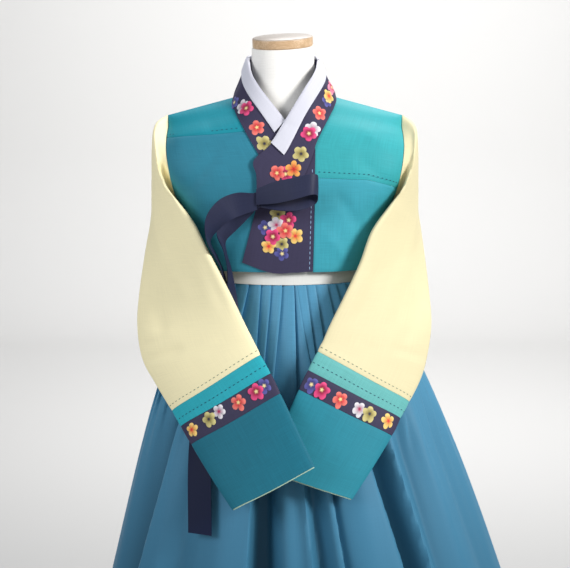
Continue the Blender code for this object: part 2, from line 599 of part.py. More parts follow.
def overlap_panel(colour):
    columns, levels = 8, 8
    bottom = resample(overlap_bottom, columns)
    top = resample(overlap_top, columns)
    level = np.linspace(0, 1, levels)[:, None, None]
    flat = bottom[None] * (1 - level) + top[None] * level
    y = coat_front_y(flat[..., 0], flat[..., 1]) - seam_gap * 2
    inner = np.stack([flat[..., 0], y, flat[..., 1]], -1)
    n = grid_normals(inner)
    n = n * np.where(n[..., 1:2] > 0, -1, 1)
    wall_solid("jeogori_seop", inner + n * cloth_wall, inner, colour)


def ribbon(name, table, per_row, colour):
    # A flat band carried along a smooth line, as wide as the table says at each place.
    r = resample(table, (len(table) - 1) * per_row + 1)
    middle, half = r[:, :3], r[:, 3:]
    grid = np.stack([middle - half, middle + half], 1)
    along = np.gradient(middle, axis=0)
    n = np.cross(along, half)
    n = (n / np.linalg.norm(n, axis=-1, keepdims=True))[:, None] * ribbon_wall / 2
    wall_solid(name, grid + n, grid - n, colour)


def knot(colour):
    # A rounded pad where the ribbon is tied: a ball with squared sides.
    around, up = 12, 7
    points, faces = [], []
    for i in range(1, up):
        tip = math.pi * i / up
        for j in range(around):
            turn = 2 * math.pi * j / around
            shape = np.array([math.cos(turn) * math.sin(tip), math.sin(turn) * math.sin(tip), math.cos(tip)])
            points.append(np.array(knot_middle) + np.sign(shape) * np.abs(shape)**0.7 * knot_half)
    top = len(points)
    points.append(np.array(knot_middle) + (0, 0, knot_half[2]))
    points.append(np.array(knot_middle) - (0, 0, knot_half[2]))
    for i in range(up - 2):
        for j in range(around):
            a, b = i * around + j, i * around + (j + 1) % around
            faces.append((a, a + around, b + around, b))
    for j in range(around):
        k = (j + 1) % around
        faces.append((top, j, k))
        low = (up - 2) * around
        faces.append((top + 1, low + k, low + j))
    add_object("goreum_knot", points, faces, colour)


def skirt_surface(column, height, columns):
    # The skirt's outer face for a column of a pleat pattern and a height. Each pleat rises slowly
    # and drops sharply; the larger folds are soft troughs that grow towards the hem.
    at = np.interp(-height, -skirt_rows[:, 0], np.arange(len(skirt_rows)))
    v = row_values(skirt_rows, at)
    per_pleat = columns / pleats
    place = column % per_pleat / per_pleat
    rise = np.interp(place, (0.0, 0.45, 0.84, 1.0), (0.0, 0.65, 1.0, 0.0))
    azimuth = 360.0 * column / columns
    trough = np.zeros_like(azimuth + height)
    span = skirt_rows[0, 0] - skirt_rows[-1, 0]
    for top, hem, deep, wide, begins in skirt_folds:
        down = np.clip((begins - height) / (begins - skirt_rows[-1, 0]), 0, 1)
        centre = top + (hem - top) * (skirt_rows[0, 0] - height) / span
        away = (azimuth - centre + 180) % 360 - 180
        width = wide * (0.6 + 0.4 * down)
        trough += deep * down**0.7 * np.exp(-(away / width)**2)
    inward = v[..., 5] * (1 - rise) + trough
    a = np.radians(azimuth)
    return np.stack([v[..., 3] + (v[..., 1] - inward) * np.sin(a),
                     v[..., 4] - (v[..., 2] - inward) * np.cos(a),
                     height + 0 * azimuth], -1)


def skirt(colour):
    columns = pleats * pleat_points
    heights = skirt_rows[0, 0] - (skirt_rows[0, 0] - skirt_rows[-1, 0]) * np.linspace(0, 1, skirt_levels)**1.25
    per_width = columns // skirt_widths
    start = columns // (2 * skirt_widths) + columns // 2 - columns // skirt_widths
    for i in range(skirt_widths):
        first = start + i * per_width
        last = first + per_width
        extra = skirt_lap_pleats * pleat_points if i == skirt_widths - 1 else 0
        index = np.arange(first, last + extra + 1, dtype=float)
        index[0] += width_gap
        if not extra:
            index[-1] -= width_gap
        column, height = np.meshgrid(index, heights)
        outer = skirt_surface(column, height, columns)
        away = outer - skirt_centre
        away[..., 2] = 0
        away /= np.linalg.norm(away, axis=-1, keepdims=True)
        if extra:
            lap = np.clip((index - last + 3) / 3, 0, 1)[None, :, None]
            outer = outer + away * lap * lap_lift
        wall_solid(f"chima_width_{i + 1}", outer, outer - away * cloth_wall, colour)


def chest_band(colour):
    around = 32
    a = (np.arange(around) * 2 * math.pi / around)[None, :]
    rows = resample(band_rows, 4)[:, :, None]
    deep = np.where(np.cos(a) > 0, rows[:, 2], rows[:, 3])
    grid = np.stack([rows[:, 1] * np.sin(a), -deep * np.cos(a), rows[:, 0] + 0 * a], -1)
    wall_solid("chima_band", grid, grid - tube_normals(grid) * cloth_wall, colour, ring=True)


def turned(name, rows, around, colour, rough, metal=0.0):
    # A solid of stacked rings, closed by a flat face below and above.
    points, faces = [], []
    for ring in rows:
        points.extend(ring)
    n = len(rows)
    for i in range(n - 1):
        for j in range(around):
            k = (j + 1) % around
            faces.append((i * around + j, i * around + k, (i + 1) * around + k, (i + 1) * around + j))
    faces.append(tuple(range(around))[::-1])
    faces.append(tuple(range((n - 1) * around, n * around)))
    return add_object(name, points, faces, colour, rough, metal)


def tilted_ring(radius_x, radius_y, middle, around):
    # A level ring turned by the neck's tilt about its own middle.
    a = np.arange(around) * 2 * math.pi / around
    x, y = radius_x * np.cos(a), radius_y * np.sin(a)
    z = y * math.tan(cap_tilt_forward) + x * math.tan(cap_tilt_side)
    return np.stack([x, y, z], -1) + middle


def dress_form(cream, wood, iron):
    a = np.arange(torso_round) * 2 * math.pi / torso_round
    rings = []
    for height, half, front, rear in resample(torso_rows, 18):
        lean = neck_x * np.clip((height - 1.34) / 0.06, 0, 1)
        deep = np.where(np.sin(a) < 0, front, rear)
        rings.append(np.stack([lean + half * np.cos(a), deep * np.sin(a), 0 * a + height], -1))
    top = np.array([neck_x, 0.0, neck_top])
    rings.append(tilted_ring(*neck_half, top, torso_round))
    turned("form_torso", rings, torso_round, cream, 0.85)
    up = np.array([-math.tan(cap_tilt_side), -math.tan(cap_tilt_forward), 1.0])
    up /= np.linalg.norm(up)
    disc = []
    for rise, radius in cap_rows:
        disc.append(tilted_ring(radius, radius * cap_round, top + up * (rise + seam_gap), torso_round))
    turned("form_neck_cap", disc, torso_round, wood, 0.55)
    b = np.arange(pole_round) * 2 * math.pi / pole_round
    circle = np.stack([np.cos(b), np.sin(b), 0 * b], -1)
    pole = [circle * pole_radius + (0, 0, z) for z in (base_rows[-1, 0] + seam_gap, torso_rows[0, 0] - seam_gap)]
    turned("form_pole", pole, pole_round, iron, 0.4, 0.6)
    base = [circle * radius + (0, 0, z) for z, radius in base_rows]
    turned("form_base", base, pole_round, iron, 0.5, 0.6)


def build():
    for o in list(bpy.data.objects):
        bpy.data.objects.remove(o, do_unlink=True)
    teal = (0.035, 0.22, 0.26)
    teal_light = (0.07, 0.40, 0.43)
    turquoise = (0.06, 0.50, 0.55)
    yellow = (0.85, 0.78, 0.50)
    purple = (0.055, 0.045, 0.12)
    white = (0.82, 0.82, 0.84)
    blue = (0.09, 0.27, 0.38)
    cream = (0.85, 0.83, 0.78)
    wood = (0.66, 0.46, 0.28)
    iron = (0.12, 0.12, 0.12)
    dress_form(cream, wood, iron)
    chest_band(white)
    skirt(blue)
    lower_front("jeogori_front_left", -1, front_left_start, yoke_seam_left, teal)
    lower_front("jeogori_front_right", 1, front_right_start, yoke_seam_right, teal_light)
    lower_back("jeogori_back_left", -1, back_seam_left, teal)
    lower_back("jeogori_back_right", 1, back_seam_right, teal)
    yoke("jeogori_yoke_left", -1, front_left_start, yoke_seam_left, back_seam_left, turquoise)
    yoke("jeogori_yoke_right", 1, front_right_start, yoke_seam_right, back_seam_right, turquoise)
    overlap_panel(purple)
    collar("jeogori_git_under", "dongjeong_under", collar_under, False, 7, purple, white)
    collar("jeogori_git_over", "dongjeong_over", collar_over, True, 8, purple, white)
    knot(purple)
    ribbon("goreum_loop", ribbon_loop, 3, purple)
    ribbon("goreum_long", long_tail, 3, purple)
    ribbon("goreum_short", short_tail, 3, purple)
    cuffs = (yellow, turquoise, purple, teal)
    sleeve("left", -1, left_sleeve_rows, left_band_rows, cuffs)
    sleeve("right", 1, right_sleeve_rows, right_band_rows, cuffs)


build()
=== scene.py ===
# Korean hanbok on a limbless dress form: fine cloth shells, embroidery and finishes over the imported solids.
# Metres, +Z up, the front faces -Y, and picture right is +X.
import math

import bpy
import numpy as np
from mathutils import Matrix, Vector


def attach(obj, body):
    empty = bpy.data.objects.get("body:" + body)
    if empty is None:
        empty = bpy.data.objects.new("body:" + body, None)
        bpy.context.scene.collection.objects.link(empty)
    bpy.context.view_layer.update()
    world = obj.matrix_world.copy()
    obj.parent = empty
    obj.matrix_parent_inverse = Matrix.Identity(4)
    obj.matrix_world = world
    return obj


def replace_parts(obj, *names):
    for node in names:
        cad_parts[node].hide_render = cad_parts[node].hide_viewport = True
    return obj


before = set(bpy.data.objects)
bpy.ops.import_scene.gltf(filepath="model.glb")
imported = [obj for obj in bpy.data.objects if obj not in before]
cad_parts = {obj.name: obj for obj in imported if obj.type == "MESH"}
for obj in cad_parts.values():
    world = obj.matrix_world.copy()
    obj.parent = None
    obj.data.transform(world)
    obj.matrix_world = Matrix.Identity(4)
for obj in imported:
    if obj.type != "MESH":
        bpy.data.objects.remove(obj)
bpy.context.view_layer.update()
scene = bpy.context.scene
scene.view_settings.view_transform = "Standard"
tau = 2 * math.pi
halvings = 26

# Camera, light and floor
studio = dict(camera=(0.0, -2.426, 1.411), aim=(0.0, 0.0, 1.07), lens=93.8, floor=6.5, wallStart=5.3,
              wallCurve=1.0,
              # paperNear to paperFar: the paper darker at the front and lighter at the back, painted shade
              # and painted light.
              paperNear=(0.41, 0.408, 0.402), paperFar=(0.7, 0.695, 0.682), nearAt=1.5, farAt=6.3,
              air=(0.93, 0.96, 1.0), airPower=0.42)
lamps = (  # name, place, size, power, colour, target
    ("keyRight", (2.2, -1.7, 2.3), 0.9, 88, (1.0, 0.985, 0.96), (0, 0, 0.95)),
    ("fillLeft", (-2.2, -2.0, 2.2), 1.4, 37, (0.95, 0.97, 1.0), (0, 0, 0.95)),
    ("topBack", (0.4, 1.2, 3.0), 1.6, 44, (1.0, 1.0, 1.0), (0, 0, 0.95)),
    ("wallWash", (0.5, 2.6, 3.2), 2.0, 160, (1.0, 0.99, 0.99), (0.45, 6.3, 0.2)),
)


def aimed(thing, place, target):
    thing.location = place
    thing.rotation_euler = (Vector(target) - Vector(place)).to_track_quat("-Z", "Y").to_euler()


def linked(thing):
    scene.collection.objects.link(thing)
    return thing


camera = linked(bpy.data.objects.new("camera", bpy.data.cameras.new("camera")))
camera.data.lens = studio["lens"]
camera.data.sensor_width = 36
aimed(camera, studio["camera"], studio["aim"])
scene.camera = camera
for lampName, place, size, power, colour, target in lamps:
    lamp = linked(bpy.data.objects.new(lampName, bpy.data.lights.new(lampName, "AREA")))
    lamp.data.shape = "DISK"
    lamp.data.size = size
    lamp.data.energy = power
    lamp.data.color = colour
    aimed(lamp, place, target)
scene.world = bpy.data.worlds.new("air")
scene.world.use_nodes = True
scene.world.node_tree.nodes["Background"].inputs[0].default_value = (*studio["air"], 1)
scene.world.node_tree.nodes["Background"].inputs[1].default_value = studio["airPower"]
print("camera and lamps are set")


# Finishes
def nodeKit(name):
    m = bpy.data.materials.new(name)
    m.use_nodes = True
    tree = m.node_tree
    shader = tree.nodes["Principled BSDF"]

    def add(kind, links=(), **values):
        node = tree.nodes.new(kind)
        for key, value in values.items():
            if key.startswith("in_"):
                node.inputs[int(key[3:])].default_value = value
            else:
                setattr(node, key, value)
        for source, socket in links:
            tree.links.new(source, node.inputs[socket])
        return node

    return m, tree, shader, add


def mixColours(add, factor, first, second):
    # Blends two colours, or a colour socket and a colour, by a factor socket.
    node = add("ShaderNodeMix", [(factor, 0)], data_type="RGBA")
    for socket, colour in ((6, first), (7, second)):
        if hasattr(colour, "is_output"):
            node.id_data.links.new(colour, node.inputs[socket])
        else:
            node.inputs[socket].default_value = (*colour, 1)
    return node.outputs[2]


def shaded(colour, by):
    return tuple(min(1.0, c * by) for c in colour)


def clothFinish(name, colour, thread=0.00055, slub=0.09, fade=0.05, rough=0.62, sheen=0.15, bump=0.00006,
                lower=None, fall=(0.9, 1.1), shade=None):
    # Plain weave in the piece's own UV map, which is in metres: two sets of threads, thick places
    # (slubs) stretched along each, and a broad uneven fading of the dye. A second, darker colour may take
    # over going down between two heights, painted shade, and the mesh's own attribute may add painted shade
    # inside folds.
    m, tree, shader, add = nodeKit(name)
    place = add("ShaderNodeUVMap", uv_map="clothUv").outputs[0]
    fields = []
    for way in ((26, 900, 1), (760, 22, 1)):
        spread = add("ShaderNodeMapping", [(place, 0)], in_3=way).outputs[0]
        fields.append(add("ShaderNodeTexNoise", [(spread, 0)], in_2=1.0, in_3=2.0).outputs[0])
    slubs = add("ShaderNodeMath", [(fields[0], 0), (fields[1], 1)], operation="ADD")
    threads = []
    for way in ("X", "Y"):
        threads.append(add("ShaderNodeTexWave", [(place, 0)], wave_type="BANDS", bands_direction=way,
                           in_1=1 / thread / 6.2832 * 2, in_2=0.6, in_3=1.0).outputs[1])
    grid = add("ShaderNodeMath", [(threads[0], 0), (threads[1], 1)], operation="MAXIMUM")
    level = add("ShaderNodeMapRange", [(slubs.outputs[0], 0)], in_1=0.72, in_2=1.28)
    dyed = mixColours(add, level.outputs[0], shaded(colour, 1 - slub), shaded(colour, 1 + slub))
    where = add("ShaderNodeTexCoord").outputs[3]
    broad = add("ShaderNodeTexNoise", [(where, 0)], in_2=5.0, in_3=3.0).outputs[0]
    faded = add("ShaderNodeHueSaturation", [(dyed, 4)], in_1=1.0, in_3=1.0)
    value = add("ShaderNodeMapRange", [(broad, 0)], in_1=0.3, in_2=0.7, in_3=1 - fade, in_4=1 + fade)
    tree.links.new(value.outputs[0], faded.inputs[2])
    colourOut = faded.outputs[0]
    # Painted shade: going down between the two heights the colour turns to the darker lower one.
    if lower:
        up = add("ShaderNodeSeparateXYZ", [(where, 0)]).outputs[2]
        above = add("ShaderNodeMapRange", [(up, 0)], in_1=fall[0], in_2=fall[1]).outputs[0]
        colourOut = mixColours(add, above, lower, colourOut)
    # Painted shade inside folds: the mesh's attribute lowers the colour's value.
    if shade:
        inFold = add("ShaderNodeAttribute", attribute_name=shade).outputs[2]
        colourOut = add("ShaderNodeHueSaturation", [(inFold, 2), (colourOut, 4)], in_1=1.05).outputs[0]
    tree.links.new(colourOut, shader.inputs["Base Color"])
    relief = add("ShaderNodeMath", [(grid.outputs[0], 0), (slubs.outputs[0], 1)], operation="ADD")
    raised = add("ShaderNodeBump", [(relief.outputs[0], 2)], in_0=0.7, in_1=bump)
    tree.links.new(raised.outputs[0], shader.inputs["Normal"])
    shader.inputs["Roughness"].default_value = rough
    shader.inputs["Sheen Weight"].default_value = sheen
    shader.inputs["Sheen Roughness"].default_value = 0.35
    shader.inputs["Sheen Tint"].default_value = (*shaded(colour, 1.3), 1)
    shader.inputs["Specular IOR Level"].default_value = 0.2
    return m


def threadFinish(name, rough=0.6, sheen=0.15):
    # Satin stitch: the colour comes from the mesh's own threadColour, with fine ribs along the UV map.
    m, tree, shader, add = nodeKit(name)
    tint = add("ShaderNodeAttribute", attribute_name="threadColour").outputs[0]
    place = add("ShaderNodeUVMap", uv_map="clothUv").outputs[0]
    ribs = add("ShaderNodeTexWave", [(place, 0)], wave_type="BANDS", bands_direction="X", in_1=900.0,
               in_2=1.2).outputs[1]
    dim = add("ShaderNodeMapRange", [(ribs, 0)], in_3=0.82, in_4=1.08)
    faded = add("ShaderNodeHueSaturation", [(tint, 4)], in_1=1.0, in_3=1.0)
    tree.links.new(dim.outputs[0], faded.inputs[2])
    tree.links.new(faded.outputs[0], shader.inputs["Base Color"])
    raised = add("ShaderNodeBump", [(ribs, 2)], in_0=0.6, in_1=0.0002)
    tree.links.new(raised.outputs[0], shader.inputs["Normal"])
    shader.inputs["Roughness"].default_value = rough
    shader.inputs["Sheen Weight"].default_value = sheen
    shader.inputs["Specular IOR Level"].default_value = 0.2
    return m


def woodFinish(name, light, dark):
    # Beech: rings far off centre, short dark flecks, and a satin lacquer. The mesh's attribute gives painted
    # shade, greyer and darker, on the top.
    m, tree, shader, add = nodeKit(name)
    where = add("ShaderNodeTexCoord").outputs[3]
    long = add("ShaderNodeMapping", [(where, 0)], in_1=(0.3, 0.02, 0.0), in_3=(9, 70, 60)).outputs[0]
    grain = add("ShaderNodeTexNoise", [(long, 0)], in_2=2.2, in_3=4.0).outputs[0]
    fine = add("ShaderNodeMapping", [(where, 0)], in_3=(60, 900, 900)).outputs[0]
    fleck = add("ShaderNodeTexNoise", [(fine, 0)], in_2=1.0, in_3=2.0).outputs[0]
    both = add("ShaderNodeMath", [(grain, 0), (fleck, 1)], operation="MULTIPLY")
    level = add("ShaderNodeMapRange", [(both.outputs[0], 0)], in_1=0.14, in_2=0.38)
    paintedTopShade = add("ShaderNodeAttribute", attribute_name="paintedShade").outputs[2]
    grained = mixColours(add, level.outputs[0], dark, light)
    shadedGrain = add("ShaderNodeHueSaturation", [(paintedTopShade, 1), (paintedTopShade, 2), (grained, 4)])
    tree.links.new(shadedGrain.outputs[0], shader.inputs["Base Color"])
    raised = add("ShaderNodeBump", [(both.outputs[0], 2)], in_0=0.35, in_1=0.0003)
    tree.links.new(raised.outputs[0], shader.inputs["Normal"])
    shader.inputs["Roughness"].default_value = 0.42
    shader.inputs["Coat Weight"].default_value = 0.25
    shader.inputs["Coat Roughness"].default_value = 0.25
    return m


def ironFinish(name, colour):
    # Powder-coated iron: fine orange peel, with a little rubbing.
    m, tree, shader, add = nodeKit(name)
    where = add("ShaderNodeTexCoord").outputs[3]
    peel = add("ShaderNodeTexNoise", [(where, 0)], in_2=900.0, in_3=2.0).outputs[0]
    rub = add("ShaderNodeTexNoise", [(where, 0)], in_2=14.0, in_3=6.0).outputs[0]
    level = add("ShaderNodeMapRange", [(rub, 0)], in_1=0.45, in_2=0.7)
    tree.links.new(mixColours(add, level.outputs[0], colour, shaded(colour, 1.7)),
                   shader.inputs["Base Color"])
    raised = add("ShaderNodeBump", [(peel, 2)], in_0=0.4, in_1=0.0003)
    tree.links.new(raised.outputs[0], shader.inputs["Normal"])
    shader.inputs["Roughness"].default_value = 0.48
    shader.inputs["Metallic"].default_value = 0.3
    return m


finishes = dict(
    # bodyTeal and bodyTealRight are one cloth: bodyTeal is the copy with painted shade, worn by the left
    # front and both backs.
    bodyTeal=clothFinish("bodyTeal", (0.026, 0.195, 0.28)),
    bodyTealRight=clothFinish("bodyTealRight", (0.042, 0.315, 0.4)),
    # yokeLeft and yokeRight are one cloth: yokeLeft is the copy with painted shade.
    yokeLeft=clothFinish("yokeLeft", (0.0085, 0.235, 0.305)),
    yokeRight=clothFinish("yokeRight", (0.036, 0.35, 0.385)),
    bandLeft=clothFinish("bandLeft", (0.022, 0.38, 0.46)),
    bandRight=clothFinish("bandRight", (0.13, 0.43, 0.42)),
    # sleeveLeft and sleeveRight are one cloth: the right is darkened against the key lamp, painted shade, and
    # the left lightened, painted light.
    sleeveLeft=clothFinish("sleeveLeft", (0.93, 0.84, 0.53), slub=0.03, fade=0.02, sheen=0.1),
    sleeveRight=clothFinish("sleeveRight", (0.72, 0.65, 0.41), slub=0.03, fade=0.02, sheen=0.1),
    # cuffLeft and cuffRight are one cloth: cuffLeft is the copy with painted shade.
    cuffLeft=clothFinish("cuffLeft", (0.0095, 0.14, 0.205)),
    cuffRight=clothFinish("cuffRight", (0.019, 0.215, 0.29)),
    trimPurple=clothFinish("trimPurple", (0.043, 0.038, 0.08), slub=0.08, sheen=0.15),
    # ribbonNavy turns to a darker colour going down from 1.16 m to 0.95 m: painted shade on the hanging
    # tails.
    ribbonNavy=clothFinish("ribbonNavy", (0.022, 0.026, 0.06), slub=0.08, rough=0.5, sheen=0.1,
                           lower=(0.001, 0.006, 0.034),
                           fall=(0.95, 1.16)),
    stripWhite=clothFinish("stripWhite", (0.64, 0.64, 0.72), slub=0.02, fade=0.01, sheen=0.05,
                           bump=0.00003),
    bandWhite=clothFinish("bandWhite", (0.66, 0.66, 0.64), slub=0.04, fade=0.02, sheen=0.1),
    # skirtBlue turns to the darker lower colour going down from 1.04 m to 0.6 m, painted shade, and reads the
    # mesh's painted shade inside the folds.
    skirtBlue=clothFinish("skirtBlue", (0.1, 0.285, 0.44), slub=0.07, fade=0.04, sheen=0.12, rough=0.5,
                          lower=(0.05, 0.165, 0.265), fall=(0.6, 1.04), shade="paintedShade"),
    liningGreen=clothFinish("liningGreen", (0.5, 0.66, 0.5), slub=0.04, fade=0.03, sheen=0.1),
    formJersey=clothFinish("formJersey", (0.94, 0.92, 0.88), thread=0.0008, slub=0.05, fade=0.03,
                           sheen=0.15, rough=0.8),
    silkThread=threadFinish("silkThread"),
    capBeech=woodFinish("capBeech", (0.76, 0.54, 0.34), (0.55, 0.35, 0.19)),
    standIron=ironFinish("standIron", (0.055, 0.055, 0.058)),
)
print("finishes are ready")


# Surfaces and meshes
def rowValues(rows, at):
    # Between a table's rows: the cubic through the four nearest rows, one step from row to row.
    rows = np.asarray(rows, float)
    at = np.clip(np.asarray(at, float), 0, len(rows) - 1)
    low = np.minimum(np.floor(at).astype(int), len(rows) - 2)
    f = (at - low).reshape(at.shape + (1,) * (rows.ndim - 1))
    p1, p2 = rows[low], rows[low + 1]
    first = (low == 0).reshape(f.shape)
    final = (low == len(rows) - 2).reshape(f.shape)
    p0 = np.where(first, 2 * p1 - p2, rows[np.maximum(low - 1, 0)])
    p3 = np.where(final, 2 * p2 - p1, rows[np.minimum(low + 2, len(rows) - 1)])
    cubic = (3 * p1 - p0 - 3 * p2 + p3) * f**3
    return 0.5 * (2 * p1 + (p2 - p0) * f + (2 * p0 - 5 * p1 + 4 * p2 - p3) * f**2 + cubic)


def resample(rows, count):
    return rowValues(rows, np.linspace(0, len(rows) - 1, count))


def unit(v):
    return v / np.maximum(np.linalg.norm(v, axis=-1, keepdims=True), 1e-12)


def gridNormals(grid, ring=False):
    # Each point takes the mean of the directions of the faces round it; a face's is the cross product
    # of its two diagonals.
    g = np.concatenate([grid, grid[:, :1]], 1) if ring else grid
    faces = unit(np.cross(g[:-1, 1:] - g[1:, :-1], g[1:, 1:] - g[:-1, :-1]))
    n = np.zeros_like(g)
    n[:-1, :-1] += faces
    n[1:, :-1] += faces
    n[:-1, 1:] += faces
    n[1:, 1:] += faces
    if ring:
        n[:, 0] += n[:, -1]
        n = n[:, :-1]
    return unit(n)


def outwardNormals(grid, centre, ring=False):
    n = gridNormals(grid, ring)
    return n if np.einsum("ijk,ijk->", n, grid - centre) > 0 else -n


def clothUv(grid, ring):
    # The piece's own flat measure in metres: mean width across the columns, mean length down the rows.
    g = np.concatenate([grid, grid[:, :1]], 1) if ring else grid
    across = np.linalg.norm(np.diff(g, axis=1), axis=-1).mean(axis=0)
    down = np.linalg.norm(np.diff(g, axis=0), axis=-1).mean(axis=1)
    u = np.concatenate([[0], np.cumsum(across)])
    v = np.concatenate([[0], np.cumsum(down)])
    return np.stack(np.broadcast_arrays(u[None], v[:, None]), -1)


def gridFaces(rows, cols, place, ring):
    # Four-cornered faces between neighbouring rows and columns, and the UV place of each corner.
    i, j = np.meshgrid(np.arange(rows - 1), np.arange(cols if ring else cols - 1), indexing="ij")
    k = (j + 1) % cols
    face = np.stack([i * cols + j, i * cols + k, (i + 1) * cols + k, (i + 1) * cols + j], -1)
    spots = ((i, j), (i, j + 1), (i + 1, j + 1), (i + 1, j))
    return face, np.stack([place[..., a, b, :] for a, b in spots], -2)


def putMesh(name, points, faces, uv, finish, slot, extra=(), tint=None, shade=None, crease=50):
    # A mesh from arrays: points, four-cornered faces, a UV place for each corner, end faces, and where
    # a finish reads them a colour or a painted shade for each point.
    mesh = bpy.data.meshes.new(name)
    mesh.from_pydata(points.tolist(), [], faces.tolist() + [list(f) for f in extra])
    layer = mesh.uv_layers.new(name="clothUv")
    flat = np.zeros((len(mesh.loops), 2), np.float32)
    flat[:faces.size] = uv.reshape(-1, 2)
    layer.data.foreach_set("uv", flat.ravel())
    if tint is not None:
        colours = mesh.color_attributes.new("threadColour", "FLOAT_COLOR", "POINT")
        tinted = np.concatenate([tint, np.ones((len(tint), 1))], 1).astype(np.float32)
        colours.data.foreach_set("color", tinted.ravel())
    if shade is not None:
        # The painted shade for each point.
        depths = mesh.attributes.new("paintedShade", "FLOAT", "POINT")
        depths.data.foreach_set("value", shade.astype(np.float32))
    mesh.materials.append(finishes[finish])
    mesh.shade_smooth()
    mesh.set_sharp_from_angle(angle=math.radians(crease))
    piece = linked(bpy.data.objects.new(name, mesh))
    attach(piece, "root")
    return piece


def shell(name, outer, thick, normals, finish, slot, ring=False, shade=None, crease=50):
    # A cloth wall: the outer grid, the same grid moved inwards by thick, and a rim round the free edges.
    inner = outer - normals * thick
    rows, cols = outer.shape[:2]
    n = rows * cols
    place = clothUv(outer, ring)
    face, own = gridFaces(rows, cols, place, ring)
    sets = [(face, own), (face[..., ::-1] + n, own[..., ::-1, :])]
    jj = np.arange(cols if ring else cols - 1)
    kk = (jj + 1) % cols
    for row, turn in ((0, 1), (rows - 1, -1)):
        rim = np.stack([n + row * cols + jj, n + row * cols + kk, row * cols + kk, row * cols + jj], -1)
        at = np.stack([place[row, jj], place[row, jj + 1], place[row, jj + 1], place[row, jj]], -2)
        sets.append((rim[:, ::turn], at[:, ::turn]))
    if not ring:
        ii = np.arange(rows - 1)
        for col, turn in ((0, -1), (cols - 1, 1)):
            a, b = ii * cols + col, (ii + 1) * cols + col
            rim = np.stack([n + a, n + b, b, a], -1)
            at = np.stack([place[ii, col], place[ii + 1, col], place[ii + 1, col], place[ii, col]], -2)
            sets.append((rim[:, ::turn], at[:, ::turn]))
    faces = np.concatenate([f.reshape(-1, 4) for f, _ in sets])
    corners = np.concatenate([u.reshape(-1, 4, 2) for _, u in sets])
    points = np.concatenate([outer.reshape(-1, 3), inner.reshape(-1, 3)])
    c = points[faces]
    volume = np.einsum("ij,ij->", c[:, 0], np.cross(c[:, 1], c[:, 2]) + np.cross(c[:, 2], c[:, 3]))
    if volume < 0:
        faces, corners = faces[:, ::-1], corners[:, ::-1]
    dark = None if shade is None else np.tile(shade.ravel(), 2)
    return putMesh(name, points, faces, corners, finish, slot, shade=dark, crease=crease)


def turned(name, rings, finish, slot, shade=None, crease=40):
    # Stacked rings of points, closed by one face at each end. A painted shade may be given for each ring.
    rows, cols = rings.shape[:2]
    face, own = gridFaces(rows, cols, clothUv(rings, True), True)
    ends = [range(cols)[::-1], range((rows - 1) * cols, rows * cols)]
    dark = None if shade is None else np.repeat(shade, cols)
    return putMesh(name, rings.reshape(-1, 3), face.reshape(-1, 4), own, finish, slot, extra=ends,
                   shade=dark, crease=crease)


def sewn(grid, ring=False):
    # Measures a piece of cloth: its widest row and longest column as the cut, and its own flat area. Nothing
    # is kept.
    g = np.concatenate([grid, grid[:, :1]], 1) if ring else grid
    wide = np.linalg.norm(np.diff(g, axis=1), axis=-1).sum(axis=1).max()
    long = np.linalg.norm(np.diff(g, axis=0), axis=-1).sum(axis=0).max()
    cells = np.cross(g[1:, 1:] - g[:-1, :-1], g[1:, :-1] - g[:-1, 1:])
    area = np.linalg.norm(cells, axis=-1).sum() / 2
    wide = max(wide, area / long)


def creased(grid, normals, table):
    # Adds soft creases: for each line from one point to another, in x and z, the height times a bell
    # curve of the distance from the line. Both ends fade out.
    flat = grid[..., [0, 2]]
    lift = np.zeros(grid.shape[:2])
    for x0, z0, x1, z1, wide, high in table:
        a, b = np.array([x0, z0]), np.array([x1, z1])
        along = ((flat - a) @ (b - a)) / ((b - a) @ (b - a))
        off = np.linalg.norm(flat - (a + np.clip(along, 0, 1)[..., None] * (b - a)), axis=-1)
        ends = np.clip(np.minimum(along, 1 - along) * 4 + 0.25, 0, 1)
        lift += high * ends * np.exp(-(off / wide)**2)
    return grid + normals * (lift * np.clip(-normals[..., 1] * 2, 0, 1))[..., None]


# The dress form
formBody = dict(
    rows=[  # height, half width, front depth, back depth
        (0.8005, 0.15, 0.098, 0.108), (0.86, 0.156, 0.1, 0.106), (0.93, 0.138, 0.09, 0.092),
        (0.99, 0.118, 0.082, 0.08), (1.05, 0.118, 0.094, 0.08), (1.11, 0.122, 0.107, 0.083),
        (1.17, 0.133, 0.105, 0.088), (1.23, 0.146, 0.095, 0.09), (1.29, 0.158, 0.079, 0.086),
        (1.325, 0.154, 0.064, 0.074), (1.346, 0.13, 0.06, 0.06), (1.359, 0.098, 0.058, 0.05),
        (1.369, 0.076, 0.056, 0.043), (1.385, 0.061, 0.052, 0.041), (1.405, 0.0535, 0.047, 0.041),
        (1.43, 0.051, 0.044, 0.042)],
    neckX=-0.0035, neckTop=1.457, neckHalf=(0.05, 0.042), leanForward=math.radians(8.8),
    leanSide=math.radians(2.6),
    cap=[(0.0003, 0.047), (0.0007, 0.048), (0.0016, 0.0486), (0.0028, 0.0488), (0.013, 0.0488),
         (0.0143, 0.0486), (0.0151, 0.0481), (0.0156, 0.047)],
    capShade=(1, 1, 1, 1, 1, 0.85, 0.6, 0.5), capRound=0.86, round=72,
    levels=110, leanFrom=1.34, leanOver=0.06, lipRows=7)
stand = dict(pole=0.014, poleTop=0.7997, poleFoot=0.0243, round=64,
             base=[(0.0, 0.176), (0.0012, 0.1792), (0.003, 0.18), (0.008, 0.18), (0.012, 0.177),
                   (0.0145, 0.17), (0.018, 0.14), (0.0205, 0.11), (0.0225, 0.06), (0.024, 0.04)])


def leaningRing(radiusX, radiusY, middle, a):
    # A level ellipse tilted by the neck's lean: its height grows with y and x by the tangents.
    x, y = radiusX * np.cos(a), radiusY * np.sin(a)
    z = y * math.tan(formBody["leanForward"]) + x * math.tan(formBody["leanSide"])
    return np.stack([x, y, z], -1) + middle


